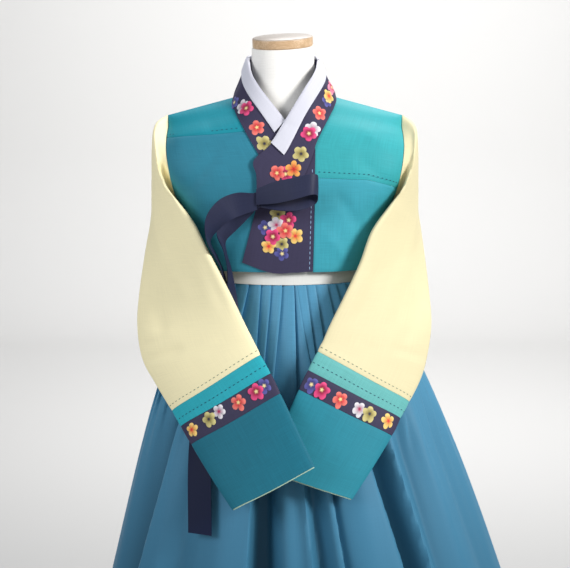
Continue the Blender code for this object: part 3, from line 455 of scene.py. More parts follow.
a = np.arange(formBody["round"]) * tau / formBody["round"]
v = resample(formBody["rows"], formBody["levels"])[:, :, None]
lean = formBody["neckX"] * np.clip((v[:, 0] - formBody["leanFrom"]) / formBody["leanOver"], 0, 1)
depth = np.where(np.sin(a) < 0, v[:, 2], v[:, 3])
rings = np.stack([lean + v[:, 1] * np.cos(a), depth * np.sin(a), v[:, 0] + 0 * a], -1)
neckTop = np.array([formBody["neckX"], 0.0, formBody["neckTop"]])
lip = leaningRing(*formBody["neckHalf"], neckTop, a)
step = np.linspace(0, 1, formBody["lipRows"])[1:, None, None]
rings = np.concatenate([rings, rings[-1:] * (1 - step) + lip[None] * step])
body = turned("formBody", rings, "formJersey", "form_cloth")
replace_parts(body, "form_torso")
up = unit(np.array([-math.tan(formBody["leanSide"]), -math.tan(formBody["leanForward"]), 1.0]))
disc = np.array([leaningRing(r, r * formBody["capRound"], neckTop + up * h, a) for h, r in formBody["cap"]])
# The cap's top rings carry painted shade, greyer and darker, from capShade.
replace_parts(turned("neckCap", disc, "capBeech", "cap_wood", shade=np.array(formBody["capShade"])),
            "form_neck_cap")
b = np.arange(stand["round"]) * tau / stand["round"]
circle = np.stack([np.cos(b), np.sin(b), 0 * b], -1)
pole = np.array([circle * stand["pole"] + (0, 0, z) for z in (stand["poleFoot"], stand["poleTop"])])
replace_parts(turned("standPole", pole, "standIron", "stand_iron"), "form_pole")
foot = np.array([circle * (r, r, 1) + (0, 0, z) for z, r in stand["base"]])
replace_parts(turned("standBase", foot, "standIron", "stand_iron"), "form_base")
print("dress form and stand are made")

# The white band over the chest
chestBand = dict(rows=[(1.0845, 0.1372, 0.1165, 0.0985), (1.106, 0.137, 0.113, 0.0935),
                       (1.15, 0.14, 0.112, 0.093), (1.172, 0.142, 0.1105, 0.094)], thick=0.0012,
                 ripple=0.0006, waves=(9, 60, 3.7), round=192, levels=24)
a = (np.arange(chestBand["round"]) * tau / chestBand["round"])[None]
v = resample(chestBand["rows"], chestBand["levels"])[:, :, None]
turns, rise, beat = chestBand["waves"]
ripple = chestBand["ripple"] * np.sin(turns * a + v[:, 0] * rise) * np.sin(beat * a)
deep = np.where(np.cos(a) > 0, v[:, 2], v[:, 3]) + ripple
grid = np.stack([v[:, 1] * np.sin(a), -deep * np.cos(a), v[:, 0] + 0 * a], -1)
band = shell("chestBand", grid, chestBand["thick"], outwardNormals(grid, (0, 0, 1.13), True), "bandWhite",
             "strip_white", ring=True)
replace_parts(band, "chima_band")
sewn(grid, ring=True)

# The pleated skirt, one wide cloth lapped at the back
skirt = dict(
    rows=[  # height, half width, half depth, middle x, middle y, pleat depth
        (1.128, 0.116, 0.09, 0.002, -0.011, 0.003), (1.084, 0.137, 0.108, 0.004, -0.009, 0.0046),
        (1.04, 0.158, 0.126, 0.006, -0.007, 0.0075), (0.97, 0.198, 0.156, 0.01, -0.002, 0.009),
        (0.905, 0.229, 0.18, 0.016, 0.001, 0.0065), (0.85, 0.25, 0.1955, 0.02, 0.004, 0.004),
        (0.8, 0.2685, 0.209, 0.024, 0.007, 0.0018), (0.7, 0.301, 0.2345, 0.03, 0.012, 0.0008),
        (0.584, 0.336, 0.262, 0.036, 0.016, 0.0005), (0.3, 0.42, 0.325, 0.05, 0.022, 0.0004),
        (0.03, 0.492, 0.385, 0.062, 0.028, 0.0004), (-0.24, 0.564, 0.445, 0.074, 0.034, 0.0004)],
    smoothOver=0.045,
    edges=[  # pleat edges at the front: azimuth at the band, lower, and where the pleats end; depth beside
        (-37.2, -37.0, -38.0, 0.9), (-26.8, -31.0, -30.0, 1.2), (-17.8, -15.8, -17.0, 1.0),
        (-10.8, -13.2, -15.0, 1.0), (-3.8, -9.2, -10.0, 1.2), (4.2, 1.0, 0.5, 1.7), (6.2, 9.4, 8.5, 0.4),
        (12.2, 10.9, 11.5, 1.0), (18.5, 15.5, 16.0, 1.0), (27.0, 24.0, 25.0, 1.0), (33.8, 32.0, 33.0, 1.0)],
    plainPleats=35, edgeHeights=(0.8, 0.92, 1.078), overlap=1.4,
    folds=[  # azimuth at each of the heights below, depth at each, sideways push in degrees, roundness
        (-180, -180, -180, 0.0, 0.0, 0.0, 0, 3.0), (-166, -166, -166, 0.004, 0.002, 0.0, 0, 3.0),
        (-152, -151, -151, 0.042, 0.03, 0.014, 0, 2.5), (-136, -136, -136, 0.0, 0.0, 0.0, 0, 4.0),
        (-121, -120, -119, 0.036, 0.026, 0.012, 0, 2.5), (-104, -103, -101, 0.0, 0.0, 0.0, 0, 4.0),
        (-88, -82, -76, 0.008, 0.008, 0.005, 0, 4.0), (-75, -68.0, -61.5, 0.054, 0.05, 0.036, 0, 2.2),
        (-70, -63.0, -56.0, 0.06, 0.06, 0.05, 0.6, 0.6), (-63, -56.4, -50.0, 0.0, 0.0, 0.0, -1.2, 0.4),
        (-55, -48.5, -45.5, 0.003, 0.002, 0.001, 0, 2.0), (-44, -41.5, -41.0, 0.026, 0.02, 0.016, 0, 1.6),
        (-34, -33.0, -35.0, 0.01, 0.008, 0.004, 0, 2.5), (-26, -26.0, -27.0, 0.0, 0.0, 0.0, 0, 2.0),
        (-19.3, -18.1, -17.5, 0.0, 0.0, 0.0, 1.3, 0.15),
        (-18.6, -17.4, -16.8, 0.058, 0.052, 0.034, -0.7, 0.4),
        (-12.0, -12.4, -13.2, 0.066, 0.06, 0.04, 0, 1.0), (-6.0, -8.4, -9.2, 0.022, 0.02, 0.015, 0, 1.2),
        (-2.0, -5.2, -5.5, 0.006, 0.006, 0.006, 0, 1.5), (2.0, -1.0, -2.4, 0.014, 0.012, 0.009, 0, 0.8),
        (6.0, 1.8, 0.0, 0.0, 0.0, 0.0, 0.4, 0.6), (10.0, 4.4, 2.4, 0.038, 0.034, 0.026, -0.3, 0.5),
        (13.0, 6.8, 4.2, 0.03, 0.026, 0.021, 0, 0.9), (18.0, 10.0, 6.8, 0.0, 0.0, 0.0, 0, 0.7),
        (20.0, 11.0, 8.6, 0.001, 0.001, 0.001, 0.5, 0.15), (20.8, 11.6, 9.1, 0.026, 0.024, 0.02, -0.4, 0.3),
        (25.0, 14.6, 12.8, 0.006, 0.006, 0.006, 0, 1.5), (33.0, 22.5, 19.5, 0.0, 0.0, 0.0, 0, 3.0),
        (41.0, 29.2, 23.5, 0.001, 0.001, 0.001, 0.8, 0.5), (45.5, 31.8, 26.0, 0.064, 0.06, 0.05, -0.6, 0.6),
        (49.0, 35.4, 29.6, 0.052, 0.048, 0.04, 0, 1.2), (55.0, 39.7, 35.2, 0.0, 0.0, 0.0, -0.6, 0.5),
        (58.0, 41.8, 43.6, 0.022, 0.02, 0.028, 0, 0.7), (66.0, 53.0, 50.5, 0.0, 0.0, 0.0, 0, 3.0),
        (78.0, 66.0, 66.0, 0.022, 0.016, 0.014, 0, 2.5), (90.0, 84.0, 80.0, 0.001, 0.001, 0.001, 0, 3.0),
        (104, 102, 100, 0.038, 0.026, 0.012, 0, 2.5), (119, 118, 117, 0.0, 0.0, 0.0, 0, 4.0),
        (134, 134, 134, 0.042, 0.03, 0.014, 0, 2.5), (150, 151, 151, 0.002, 0.001, 0.0, 0, 4.0),
        (164, 164, 164, 0.026, 0.018, 0.009, 0, 2.5), (180, 180, 180, 0.0, 0.0, 0.0, 0, 3.0)],
    foldHeights=(0.03, 0.65, 0.85), foldsBegin=0.985, foldsFull=0.8, soften=0.03,
    # foldDark: how much painted shade the folds get, in full from foldDeep deep.
    perPleat=10, levels=84, top=1.084, foldDark=0.5, foldDeep=0.05, start=23, lapPleats=2, lapLift=0.004,
    thick=0.0011, pressedTo=0.93, openBy=0.8)


def edgeAzimuth(number, height):
    # A pleat edge's azimuth: the front's from the table, the others evenly round the rest of the ring.
    t = np.array(skirt["edges"])
    total = len(t) + skirt["plainPleats"]
    plain, gap = skirt["plainPleats"], 360 + t[0, 0] - t[-1, 0]
    others = t[-1, 0] + gap * np.arange(1, plain + 1) / (plain + 1)
    top, low, end = (np.concatenate([t[:, i], others]) for i in (0, 1, 2))
    k = number.astype(int)
    first, second, third = skirt["edgeHeights"]
    down = np.clip((third - height) / (third - second), 0, 1)
    further = np.clip((second - height) / (second - first), 0, 1)
    k, turns = k % total, k // total
    return top[k] + (low - top)[k] * down + (end - low)[k] * further + 360 * turns


def foldShape(azimuth, height):
    # Depth and sideways push against azimuth, each a broken line: every stretch's slope times the
    # difference of two rounded ramps, so that its corners are as round as the table says. The table is
    # read between its heights and averaged over heights nearby.
    t = np.array(skirt["folds"])
    heights = skirt["foldHeights"]
    near = [np.clip(height[:, :1] + skirt["soften"] * o, *heights[::2]) for o in range(-3, 4)]
    corner, deep = ([np.mean([np.interp(h, heights, row[c:c + 3]) for h in near], axis=0) for row in t]
                    for c in (0, 3))
    turn = (azimuth + 180) % 360 - 180
    fade = np.clip((skirt["foldsBegin"] - height) / (skirt["foldsBegin"] - skirt["foldsFull"]), 0, 1)
    fade = fade * fade * (3 - 2 * fade)
    ramps = [(turn - corner[k] + np.sqrt((turn - corner[k])**2 + t[k, 7]**2)) / 2 for k in range(len(t))]
    depth, push = np.zeros_like(azimuth), np.zeros_like(azimuth)
    for k in range(len(t) - 1):
        stretch = (ramps[k] - ramps[k + 1]) / (corner[k + 1] - corner[k])
        depth += (deep[k + 1] - deep[k]) * stretch
        push += (t[k + 1, 6] - t[k, 6]) * stretch
    return depth * fade, push * fade


def skirtFace(pleat, height):
    # Pleat number and height to a point. Near the band the cloth of a pleat runs from under its
    # neighbour's edge to its own edge and back under (a knife pleat); lower down it is a soft wave. The
    # depth is the pleat's plus the folds'. The table is averaged over heights nearby.
    table = np.array(skirt["rows"])[::-1]
    near = [height[:, :1] + skirt["smoothOver"] * o for o in np.linspace(-1, 1, 9)]
    v = np.stack([np.mean([np.interp(h, table[:, 0], table[:, c]) for h in near],
                          axis=0) for c in range(6)], -1)
    whole = np.floor(pleat + 1e-9)
    s = pleat - whole
    tight = np.clip((height - skirt["openBy"]) / (skirt["pressedTo"] - skirt["openBy"]), 0, 1)
    tight = tight * tight * (3 - 2 * tight)
    under = skirt["overlap"]
    first, last = edgeAzimuth(whole, height), edgeAzimuth(whole + 1, height)
    share = np.interp(s, (0, 0.3, 0.62, 0.74), (0, 0.5, 1.0, 1.0))
    tuck = under * np.interp(s, (0.74, 0.84, 1.0), (0, 0.55, 1.0))
    pressed = (first - under) * (1 - share) + last * share - tuck
    azimuth = pressed * tight + ((first - under) * (1 - s) + (last - under) * s) * (1 - tight)
    saw = np.interp(s, (0, 0.3, 0.62, 0.7, 0.8, 1.0), (0.0, 0.62, 1.0, 0.94, 0.45, 0.0))
    rise = saw * tight + (0.5 - 0.5 * np.cos(tau * s)) * (1 - tight)
    depths = np.array([q[3] for q in skirt["edges"]] + [1.0] * skirt["plainPleats"])
    k = whole.astype(int)
    beside = depths[k % len(depths)] * (1 - s) + depths[(k + 1) % len(depths)] * s
    deep, push = foldShape(azimuth, height)
    inward = v[..., 5] * (1 - rise) * beside + deep
    t = np.radians(azimuth + push)
    points = np.stack([v[..., 3] + (v[..., 1] - inward) * np.sin(t),
                       v[..., 4] - (v[..., 2] - inward) * np.cos(t), height + 0 * t], -1)
    # The second value is painted shade, darker the deeper the fold.
    return points, 1 - skirt["foldDark"] * np.clip(deep / skirt["foldDeep"], 0, 1)**1.3


pleats = len(skirt["edges"]) + skirt["plainPleats"]
count = (pleats + skirt["lapPleats"]) * skirt["perPleat"]
pleat = skirt["start"] + np.arange(count + 1) / skirt["perPleat"]
height = skirt["top"] - (skirt["top"] - skirt["foldHeights"][0]) * np.linspace(0, 1, skirt["levels"])**1.2
pleat, height = np.meshgrid(pleat, height)
grid, shade = skirtFace(pleat, height)
away = unit((grid - (0.03, 0.01, 0.0)) * (1, 1, 0))
lap = np.clip((pleat[0] - skirt["start"] - pleats + 1.0), 0, 1)[None, :, None]
grid = grid + away * lap * skirt["lapLift"]
chima = shell("skirtCloth", grid, skirt["thick"], away, "skirtBlue", "skirt_blue", shade=shade, crease=60)
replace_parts(chima, "chima_width_1", "chima_width_2", "chima_width_3", "chima_width_4")
sewn(grid)
print("skirt is pleated")

# The jacket's own surface
jacket = dict(
    rows=[  # height, half width, front depth, back depth, drop to the tip, squareness, armhole share
        (1.105, 0.15, 0.12, 0.098, 0.0, 2.6, 1.0), (1.148, 0.156, 0.121, 0.101, 0.0, 2.7, 1.0),
        (1.19, 0.165, 0.118, 0.103, 0.0, 2.9, 1.0), (1.23, 0.184, 0.114, 0.104, 0.003, 3.4, 0.962),
        (1.27, 0.2, 0.107, 0.102, 0.008, 3.8, 0.92), (1.308, 0.202, 0.096, 0.097, 0.016, 3.6, 0.932),
        (1.34, 0.196, 0.08, 0.089, 0.027, 3.0, 0.965), (1.366, 0.191, 0.054, 0.077, 0.038, 2.6, 0.985),
        (1.387, 0.19, 0.03, 0.052, 0.046, 2.4, 0.996), (1.398, 0.19, 0.0, 0.0, 0.051, 2.3, 1.0)],
    leftStart=[0.03, 0.03, 0.024, 0.012, -0.015, -0.039, -0.054, -0.066, -0.069, -0.069],
    rightStart=[0.044, 0.045, 0.046, 0.047, 0.046, 0.04, 0.051, 0.061, 0.067, 0.069],
    backStart=[0.0, 0.0, 0.0, 0.0, 0.0, 0.0, 0.0, 0.0, 0.056, 0.069],
    seams=dict(left=(5.72, 5.8, 5.95), right=(3.6, 3.56, 3.15), backLeft=(5.75, 5.8, 5.95),
               backRight=(3.6, 3.45, 3.15)),
    thick=0.0012, columns=49, seamPinch=0.0009, seamWidth=0.05, seamGap=0.004, nearRidge=(8.99, 8.98),
    creases=[  # from x z, to x z, half width, height
        (-0.1, 1.3, -0.165, 1.215, 0.01, -0.0022), (-0.12, 1.33, -0.178, 1.3, 0.012, 0.0016),
        (0.08, 1.23, 0.13, 1.16, 0.01, -0.0018), (0.11, 1.29, 0.168, 1.235, 0.012, -0.002),
        (0.06, 1.17, 0.1, 1.12, 0.009, 0.0014), (-0.08, 1.24, -0.105, 1.17, 0.01, 0.0015),
        (0.12, 1.33, 0.175, 1.275, 0.01, 0.0014)])
armpitRow = 2.0
ridgeRow = 9.0


def jacketPoint(angle, row, back):
    # x is the half width times the sine of the angle; y is the depth times a rounded-box bulge; the
    # height drops in proportion towards the shoulder tip.
    height, half, front, rear, drop, square, _ = np.moveaxis(rowValues(jacket["rows"], row), -1, 0)
    side = np.sin(angle)
    deep = np.maximum(np.where(back > 0.5, rear, front), 0.0)
    bulge = np.maximum(1 - np.abs(side)**square, 0.0)**(1 / square)
    y = np.maximum(deep * bulge, 0.00015) * np.where(back > 0.5, 1, -1)
    return np.stack([half * side, y, height - drop * np.abs(side)], -1)


def frontDepth(x, z):
    # The jacket's front at x and z: the row whose height fits is found by halving, and its outline
    # gives y.
    low, high = np.zeros_like(x), np.full_like(x, ridgeRow)
    for _ in range(halvings):
        middle = (low + high) / 2
        v = rowValues(jacket["rows"], middle)
        above = v[..., 0] - v[..., 4] * np.abs(x) / v[..., 1] > z
        high, low = np.where(above, middle, high), np.where(above, low, middle)
    v = rowValues(jacket["rows"], (low + high) / 2)
    share = np.minimum(np.abs(x) / v[..., 1], 1.0)
    return -np.maximum(v[..., 2], 0) * np.maximum(1 - share**v[..., 5], 0)**(1 / v[..., 5])


def armholeAngle(row):
    share = np.clip(rowValues(jacket["rows"], row)[..., 6], 0, 1)
    return np.where(row <= armpitRow, math.pi / 2, np.arcsin(share))


def startAngle(start, row):
    half = rowValues(jacket["rows"], row)[..., 1]
    return np.arcsin(np.clip(np.interp(row, np.arange(len(start)), start) / half, -1, 1))


def seamRow(seam, share):
    return np.interp(share, (0, 0.5, 1), seam)


def jacketPanel(name, node, sign, parts, finish, slot):
    # A panel from its inner edge to the armhole. Each part gives its low and high rows along that way,
    # its start table and whether it is behind. The edges at seams sink a little, as sewn cloth does.
    share = np.linspace(0, 1, jacket["columns"])
    rowSets, starts, behinds = [], [], []
    for low, high, start, behind, levels in parts:
        t = np.linspace(0, 1, levels)[:, None]
        rows = low * (1 - t) + high * t
        rows = rows + 0 * share[None]
        rowSets.append(rows)
        starts.append(sign * np.abs(startAngle(start, rows)) if behind else startAngle(start, rows))
        behinds.append(np.full_like(rows, float(behind)))
    rows, first, behind = (np.concatenate(q) for q in (rowSets, starts, behinds))
    angle = first + (sign * armholeAngle(rows) - first) * share[None]
    grid = jacketPoint(angle, rows, behind)
    n = outwardNormals(grid, (0, 0, 1.25))
    overRidge = behind.max() and not behind.min()
    down = np.minimum(np.abs(rows - rows[:1]), 9 if overRidge else np.abs(rows - rows[-1:]))
    pinch = jacket["seamPinch"] * np.exp(-(down / jacket["seamWidth"])**2)
    grid = creased(grid - n * pinch[..., None], n, jacket["creases"])
    piece = shell(name, grid, jacket["thick"], n, finish, slot)
    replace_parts(piece, node)
    sewn(grid)


share = np.linspace(0, 1, jacket["columns"])
seamAt = {key: seamRow(seam, share) for key, seam in jacket["seams"].items()}
left, right, behindStart = jacket["leftStart"], jacket["rightStart"], jacket["backStart"]
gap = jacket["seamGap"]
ridgeFront, ridgeBack = jacket["nearRidge"]
sides = (  # side, sign, inner edge, lower and yoke levels, finish and slot of the front
    # The left front takes the copy with painted shade, the right front the lit one.
    ("left", -1, left, 60, 40, "bodyTeal", "body_teal"),
    ("right", 1, right, 44, 56, "bodyTealRight", "body_teal_right"),
)
for side, sign, start, levels, _, finish, slot in sides:
    jacketPanel("front" + side.capitalize(), "jeogori_front_" + side, sign,
                [(0.0, seamAt[side] - gap, start, False, levels)], finish, slot)
for side, sign, _, levels, *_ in sides:
    jacketPanel("back" + side.capitalize(), "jeogori_back_" + side, sign,
                [(0.0, seamAt["back" + side.capitalize()] - gap, behindStart, True, levels)], "bodyTeal",
                "body_teal")
# The left yoke takes the copy with painted shade.
for side, sign, start, _, levels, *_ in sides:
    jacketPanel("yoke" + side.capitalize(), "jeogori_yoke_" + side, sign,
                [(seamAt[side] + gap, ridgeFront, start, False, levels),
                 (ridgeBack, seamAt["back" + side.capitalize()] + gap, behindStart, True, levels)],
                "yoke" + side.capitalize(), "yoke_turquoise")
print("jacket body is sewn")

# Sleeves, flat tubes folded at front and back
sleeves = dict(
    left=[  # front fold x y z, back fold x y z, middle x y z, half thickness x y z; written for +X
        (0.195, -0.07, 1.268, 0.198, 0.07, 1.268, 0.19, 0.0, 1.2605, 0.019, 0.0, 0.072),
        (0.195, -0.079, 1.257, 0.201, 0.079, 1.257, 0.1955, -0.001, 1.2415, 0.0205, 0.0, 0.055),
        (0.1885, -0.09, 1.24, 0.206, 0.084, 1.236, 0.197, -0.003, 1.213, 0.0205, -0.002, 0.03),
        (0.167, -0.106, 1.213, 0.2105, 0.078, 1.2, 0.1975, -0.011, 1.185, 0.019, -0.005, 0.011),
        (0.1432, -0.125, 1.1826, 0.22, 0.058, 1.162, 0.193, -0.027, 1.158, 0.018, -0.008, 0.002),
        (0.1223, -0.142, 1.1447, 0.229, 0.03, 1.123, 0.183, -0.05, 1.131, 0.016, -0.011, 0.0),
        (0.0876, -0.168, 1.0843, 0.2365, -0.023, 1.062, 0.164, -0.093, 1.073, 0.0125, -0.014, 0.0),
        (0.06, -0.188, 1.032, 0.2365, -0.075, 1.013, 0.149, -0.13, 1.022, 0.0085, -0.0145, 0.001),
        (0.047, -0.1965, 1.008, 0.226, -0.108, 0.965, 0.137, -0.151, 0.986, 0.0065, -0.014, 0.001),
        (0.042, -0.2, 0.999, 0.204, -0.13, 0.93, 0.124, -0.164, 0.964, 0.005, -0.014, 0.001),
        (0.0373, -0.204, 0.9899, 0.1768, -0.152, 0.8905, 0.107, -0.178, 0.9402, 0.0045, -0.0135, 0.001),
        (0.0214, -0.214, 0.9633, 0.1618, -0.172, 0.8701, 0.0916, -0.193, 0.9167, 0.0035, -0.013, 0.001),
        (0.0067, -0.224, 0.9345, 0.1448, -0.189, 0.8458, 0.0757, -0.2065, 0.8902, 0.0025, -0.0125, 0.001),
        (-0.0196, -0.243, 0.881, 0.1122, -0.221, 0.8013, 0.0463, -0.232, 0.8412, 0.0015, -0.011, 0.001),
        (-0.0448, -0.259, 0.8301, 0.0799, -0.248, 0.7595, 0.0175, -0.2535, 0.7948, 0.001, -0.01, 0.001)],
    right=[
        (0.195, -0.07, 1.268, 0.198, 0.07, 1.268, 0.19, 0.0, 1.2605, 0.019, 0.0, 0.072),
        (0.195, -0.079, 1.257, 0.201, 0.079, 1.257, 0.1955, -0.001, 1.2415, 0.0205, 0.0, 0.055),
        (0.1885, -0.089, 1.238, 0.206, 0.084, 1.236, 0.197, -0.003, 1.211, 0.0205, -0.002, 0.03),
        (0.165, -0.105, 1.208, 0.211, 0.078, 1.2, 0.197, -0.011, 1.18, 0.019, -0.005, 0.009),
        (0.137, -0.125, 1.17, 0.2215, 0.058, 1.16, 0.192, -0.027, 1.155, 0.018, -0.008, 0.002),
        (0.118, -0.139, 1.122, 0.229, 0.03, 1.118, 0.181, -0.05, 1.12, 0.016, -0.011, 0.0),
        (0.096, -0.156, 1.08, 0.2345, -0.018, 1.062, 0.166, -0.085, 1.071, 0.0125, -0.014, 0.0),
        (0.07, -0.172, 1.032, 0.235, -0.068, 1.013, 0.153, -0.119, 1.022, 0.0085, -0.0145, 0.001),
        (0.059, -0.179, 1.008, 0.226, -0.096, 0.965, 0.143, -0.137, 0.986, 0.0065, -0.014, 0.001),
        (0.054, -0.182, 1.0, 0.215, -0.112, 0.933, 0.135, -0.147, 0.967, 0.005, -0.014, 0.001),
        (0.0498, -0.185, 0.9918, 0.1959, -0.133, 0.9007, 0.123, -0.159, 0.9462, 0.0045, -0.0135, 0.001),
        (0.035, -0.191, 0.964, 0.181, -0.15, 0.878, 0.108, -0.1705, 0.921, 0.0035, -0.012, 0.001),
        (0.0208, -0.196, 0.9347, 0.1666, -0.167, 0.854, 0.0937, -0.1815, 0.8944, 0.0025, -0.011, 0.001),
        (-0.006, -0.208, 0.875, 0.135, -0.195, 0.81, 0.0645, -0.2015, 0.8425, 0.0015, -0.0095, 0.001),
        (-0.0319, -0.221, 0.8152, 0.1032, -0.216, 0.7666, 0.0357, -0.2185, 0.7909, 0.001, -0.0085, 0.001)],
    round=80, perRow=8, thick=0.0011, armhole=(1.2685, 0.0785), clear=0.0008, underClear=0.003,
    planeRings=3, edgeShort=0.00015,
    edgeSink=(0.0007, 0.0002), edgeUp=0.0006,
    creases=dict(
        left=[(-0.205, 1.33, -0.2, 1.285, 0.006, -0.003), (-0.2, 1.285, -0.18, 1.215, 0.008, -0.003),
              (-0.228, 0.96, -0.16, 0.992, 0.006, -0.0022), (-0.233, 1.0, -0.175, 1.015, 0.007, 0.0018),
              (-0.195, 1.13, -0.15, 1.06, 0.014, 0.0022), (-0.215, 1.09, -0.19, 1.0, 0.012, -0.0018),
              (-0.14, 1.15, -0.09, 1.05, 0.01, -0.0014)],
        right=[(0.203, 1.33, 0.199, 1.27, 0.006, -0.003), (0.199, 1.27, 0.178, 1.205, 0.008, -0.0026),
               (0.225, 0.965, 0.17, 0.99, 0.006, -0.0018), (0.2, 1.12, 0.15, 1.03, 0.014, 0.002),
               (0.215, 1.06, 0.19, 0.99, 0.012, -0.0016), (0.15, 1.12, 0.11, 1.03, 0.01, -0.0012)]))


def armholeRing(sign, count):
    # The jacket's armhole at even turns: its height is the armhole's middle plus half times the sine.
    rows = np.linspace(armpitRow, ridgeRow, 500)
    edge = jacketPoint(armholeAngle(rows), rows, 0 * rows)
    turn = np.arange(count) * tau / count
    middle, half = sleeves["armhole"]
    row = np.interp(middle + half * np.sin(turn), edge[:, 2], rows)
    loop = jacketPoint(armholeAngle(row), row, np.where(np.cos(turn) < -1e-6, 1.0, 0.0))
    loop[:, 1] = np.where(np.abs(np.cos(turn)) < 1e-6, 0, loop[:, 1])
    under = np.maximum(-np.sin(turn), 0)**2
    loop[:, 0] += sleeves["clear"] + sleeves["underClear"] * under
    loop[:, 2] += sleeves["edgeUp"] * np.sin(turn) + sleeves["clear"] * under
    return loop * (sign, 1, 1)


def sleeveRings(rows, sign, count):
    # Ring: middle, plus reach to a fold times cosine, plus half thickness times sine. At the folds the
    # thickness is turned square to the fold's line, but not next to the armhole.
    rows = np.array(rows)
    front, rear, middle, thick = (rows[:, None, i:i + 3] * (sign, 1, 1) for i in (0, 3, 6, 9))
    turn = (np.arange(count) * tau / count)[None, :, None]
    fronts = np.cos(turn) > 0
    reach = np.where(fronts, front - middle, middle - rear)
    ways = [unit(np.gradient(fold, axis=0)) for fold in (front, rear)]
    square = np.where(fronts, *[-(thick * way).sum(axis=-1, keepdims=True) * way for way in ways])
    grown = np.clip(np.arange(len(rows)) / sleeves["planeRings"], 0, 1)[:, None, None]
    square = square * grown * np.cos(turn)**2
    return middle + reach * np.cos(turn) + (thick + square) * np.sin(turn)


def makeSleeve(side, sign):
    # One tube from armhole to sleeve end, cut into the sleeve, its two bands and the cuff. Where two
    # pieces meet, both edges sink a little.
    start = armholeRing(sign, sleeves["round"])[None]
    rings = np.concatenate([start, sleeveRings(sleeves[side], sign, sleeves["round"])])
    last = len(rings) - 1
    tube = rowValues(rings, np.linspace(0, last, last * sleeves["perRow"] + 1))
    centre = tube.mean(axis=1, keepdims=True)
    n = outwardNormals(tube, centre, True)
    tube = creased(tube, n, sleeves["creases"][side])
    n = outwardNormals(tube, centre, True)
    n[0] = unit(n[0] * (0, 1, 1))
    ending = side.capitalize()
    short, sink = sleeves["edgeShort"], np.array(sleeves["edgeSink"])[:, None, None]
    # The sleeve and cuff finishes of the two sides differ by painted light and painted shade.
    names = (("sleeve", "sleeve" + ending, "sleeve_yellow"),
             ("band_turquoise", "band" + ending, "yoke_turquoise"),
             ("band_purple", "trimPurple", "trim_purple"), ("cuff", "cuff" + ending, "body_teal"))
    ends = [0, last - 4, last - 3, last - 2, last]
    for (node, finish, slot), low, high in zip(names, ends[:-1], ends[1:]):
        first, final = low * sleeves["perRow"], high * sleeves["perRow"]
        part, partN = tube[first:final + 1].copy(), n[first:final + 1]
        if low:
            part[0] += unit(part[1] - part[0]) * short
            part[:2] -= partN[:2] * sink
        if high < last:
            part[-1] -= unit(part[-1] - part[-2]) * short
            part[-2:] -= partN[-2:] * sink[::-1]
        name = node.replace("band_t", "bandT").replace("band_p", "bandP") + ending
        piece = shell(name, part, sleeves["thick"], partN, finish, slot, ring=True)
        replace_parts(piece, f"{node}_{side}")
        sewn(part, ring=True)
    return tube, n


tubes = {side: makeSleeve(side, sign) for side, sign in (("left", -1), ("right", 1))}
print("sleeves are hung")

# Collar, its white strip and the overlap panel
collars = dict(
    over=[  # outer edge x z, its depth y (behind the ridge only), inner edge x y z
        (0.0002, 1.372, 0.079, 0.0002, 0.064, 1.434), (0.045, 1.376, 0.06, 0.03, 0.053, 1.4385),
        (0.072, 1.38, 0.03, 0.0505, 0.02, 1.441), (0.0805, 1.3825, 0.0, 0.053, -0.015, 1.4307),
        (0.0808, 1.366, -0.03, 0.0476, -0.045, 1.4165), (0.063, 1.3335, -0.07, 0.0321, -0.067, 1.3913),
        (0.0501, 1.3086, -0.09, 0.016, -0.079, 1.365), (0.0418, 1.2837, -0.1, 0.0, -0.088, 1.3386),
        (0.0307, 1.258, -0.1, -0.0211, -0.09, 1.3055), (0.0173, 1.239, -0.1, -0.0487, -0.09, 1.2794),
        (0.0, 1.2237, -0.1, -0.0447, -0.09, 1.2573), (-0.0235, 1.213, -0.1, -0.044, -0.09, 1.2345),
        (-0.033, 1.212, -0.1, -0.0432, -0.09, 1.224)],
    under=[
        (-0.0002, 1.372, 0.079, -0.0032, 0.064, 1.434), (-0.045, 1.376, 0.06, -0.034, 0.053, 1.4385),
        (-0.072, 1.38, 0.03, -0.0563, 0.02, 1.441), (-0.081, 1.3825, 0.0, -0.0585, -0.01, 1.4354),
        (-0.084, 1.368, -0.03, -0.0541, -0.04, 1.4165), (-0.0784, 1.3518, -0.05, -0.0411, -0.059, 1.3927),
        (-0.0663, 1.3303, -0.07, -0.0214, -0.072, 1.3664), (-0.0437, 1.2923, -0.1, 0.0, -0.08, 1.3386),
        (-0.03, 1.272, -0.1, 0.008, -0.085, 1.326)],
    liftAt=(0.0, 0.4, 0.7, 1.0), liftOver=(0.0028, 0.0042, 0.0054, 0.0054),
    liftUnder=(0.0012, 0.0012, 0.0012, 0.0012),
    stripFrom=0.623, stripEnd=dict(over=8, under=7), thick=0.0016, strip=0.0009, gitWall=0.0012,
    stripWall=0.0009, stripFold=0.0007, stripAcross=13, perRow=10, across=29, crown=0.0016,
    wrapTo=4.6, wrapOut=(0.001, 0.0015, 0.0013, 0.001, 0.001, 0.001),
    wrapIn=(-0.0003, -0.0012, -0.0038, -0.0046, -0.0047, -0.0047),
    wrapDown=(0.0, 0.0, 0.0, 0.0008, 0.003, 0.006), wrapUp=(0.75, 0.0, -0.5, -1, -1, -1),
    wrapOver=(0.66, 1, 0.86, 0.2, 0, 0))
overlap = dict(bottom=[(0.0437, 1.1065), (0.011, 1.1045), (-0.0215, 1.1045), (-0.0673, 1.1202)],
               top=[(0.0474, 1.2984), (0.04, 1.285), (0.0285, 1.26), (0.015, 1.241), (-0.002, 1.226),
                    (-0.024, 1.2155), (-0.043, 1.213)], thick=0.0012, clear=0.0006, columns=41, levels=61)


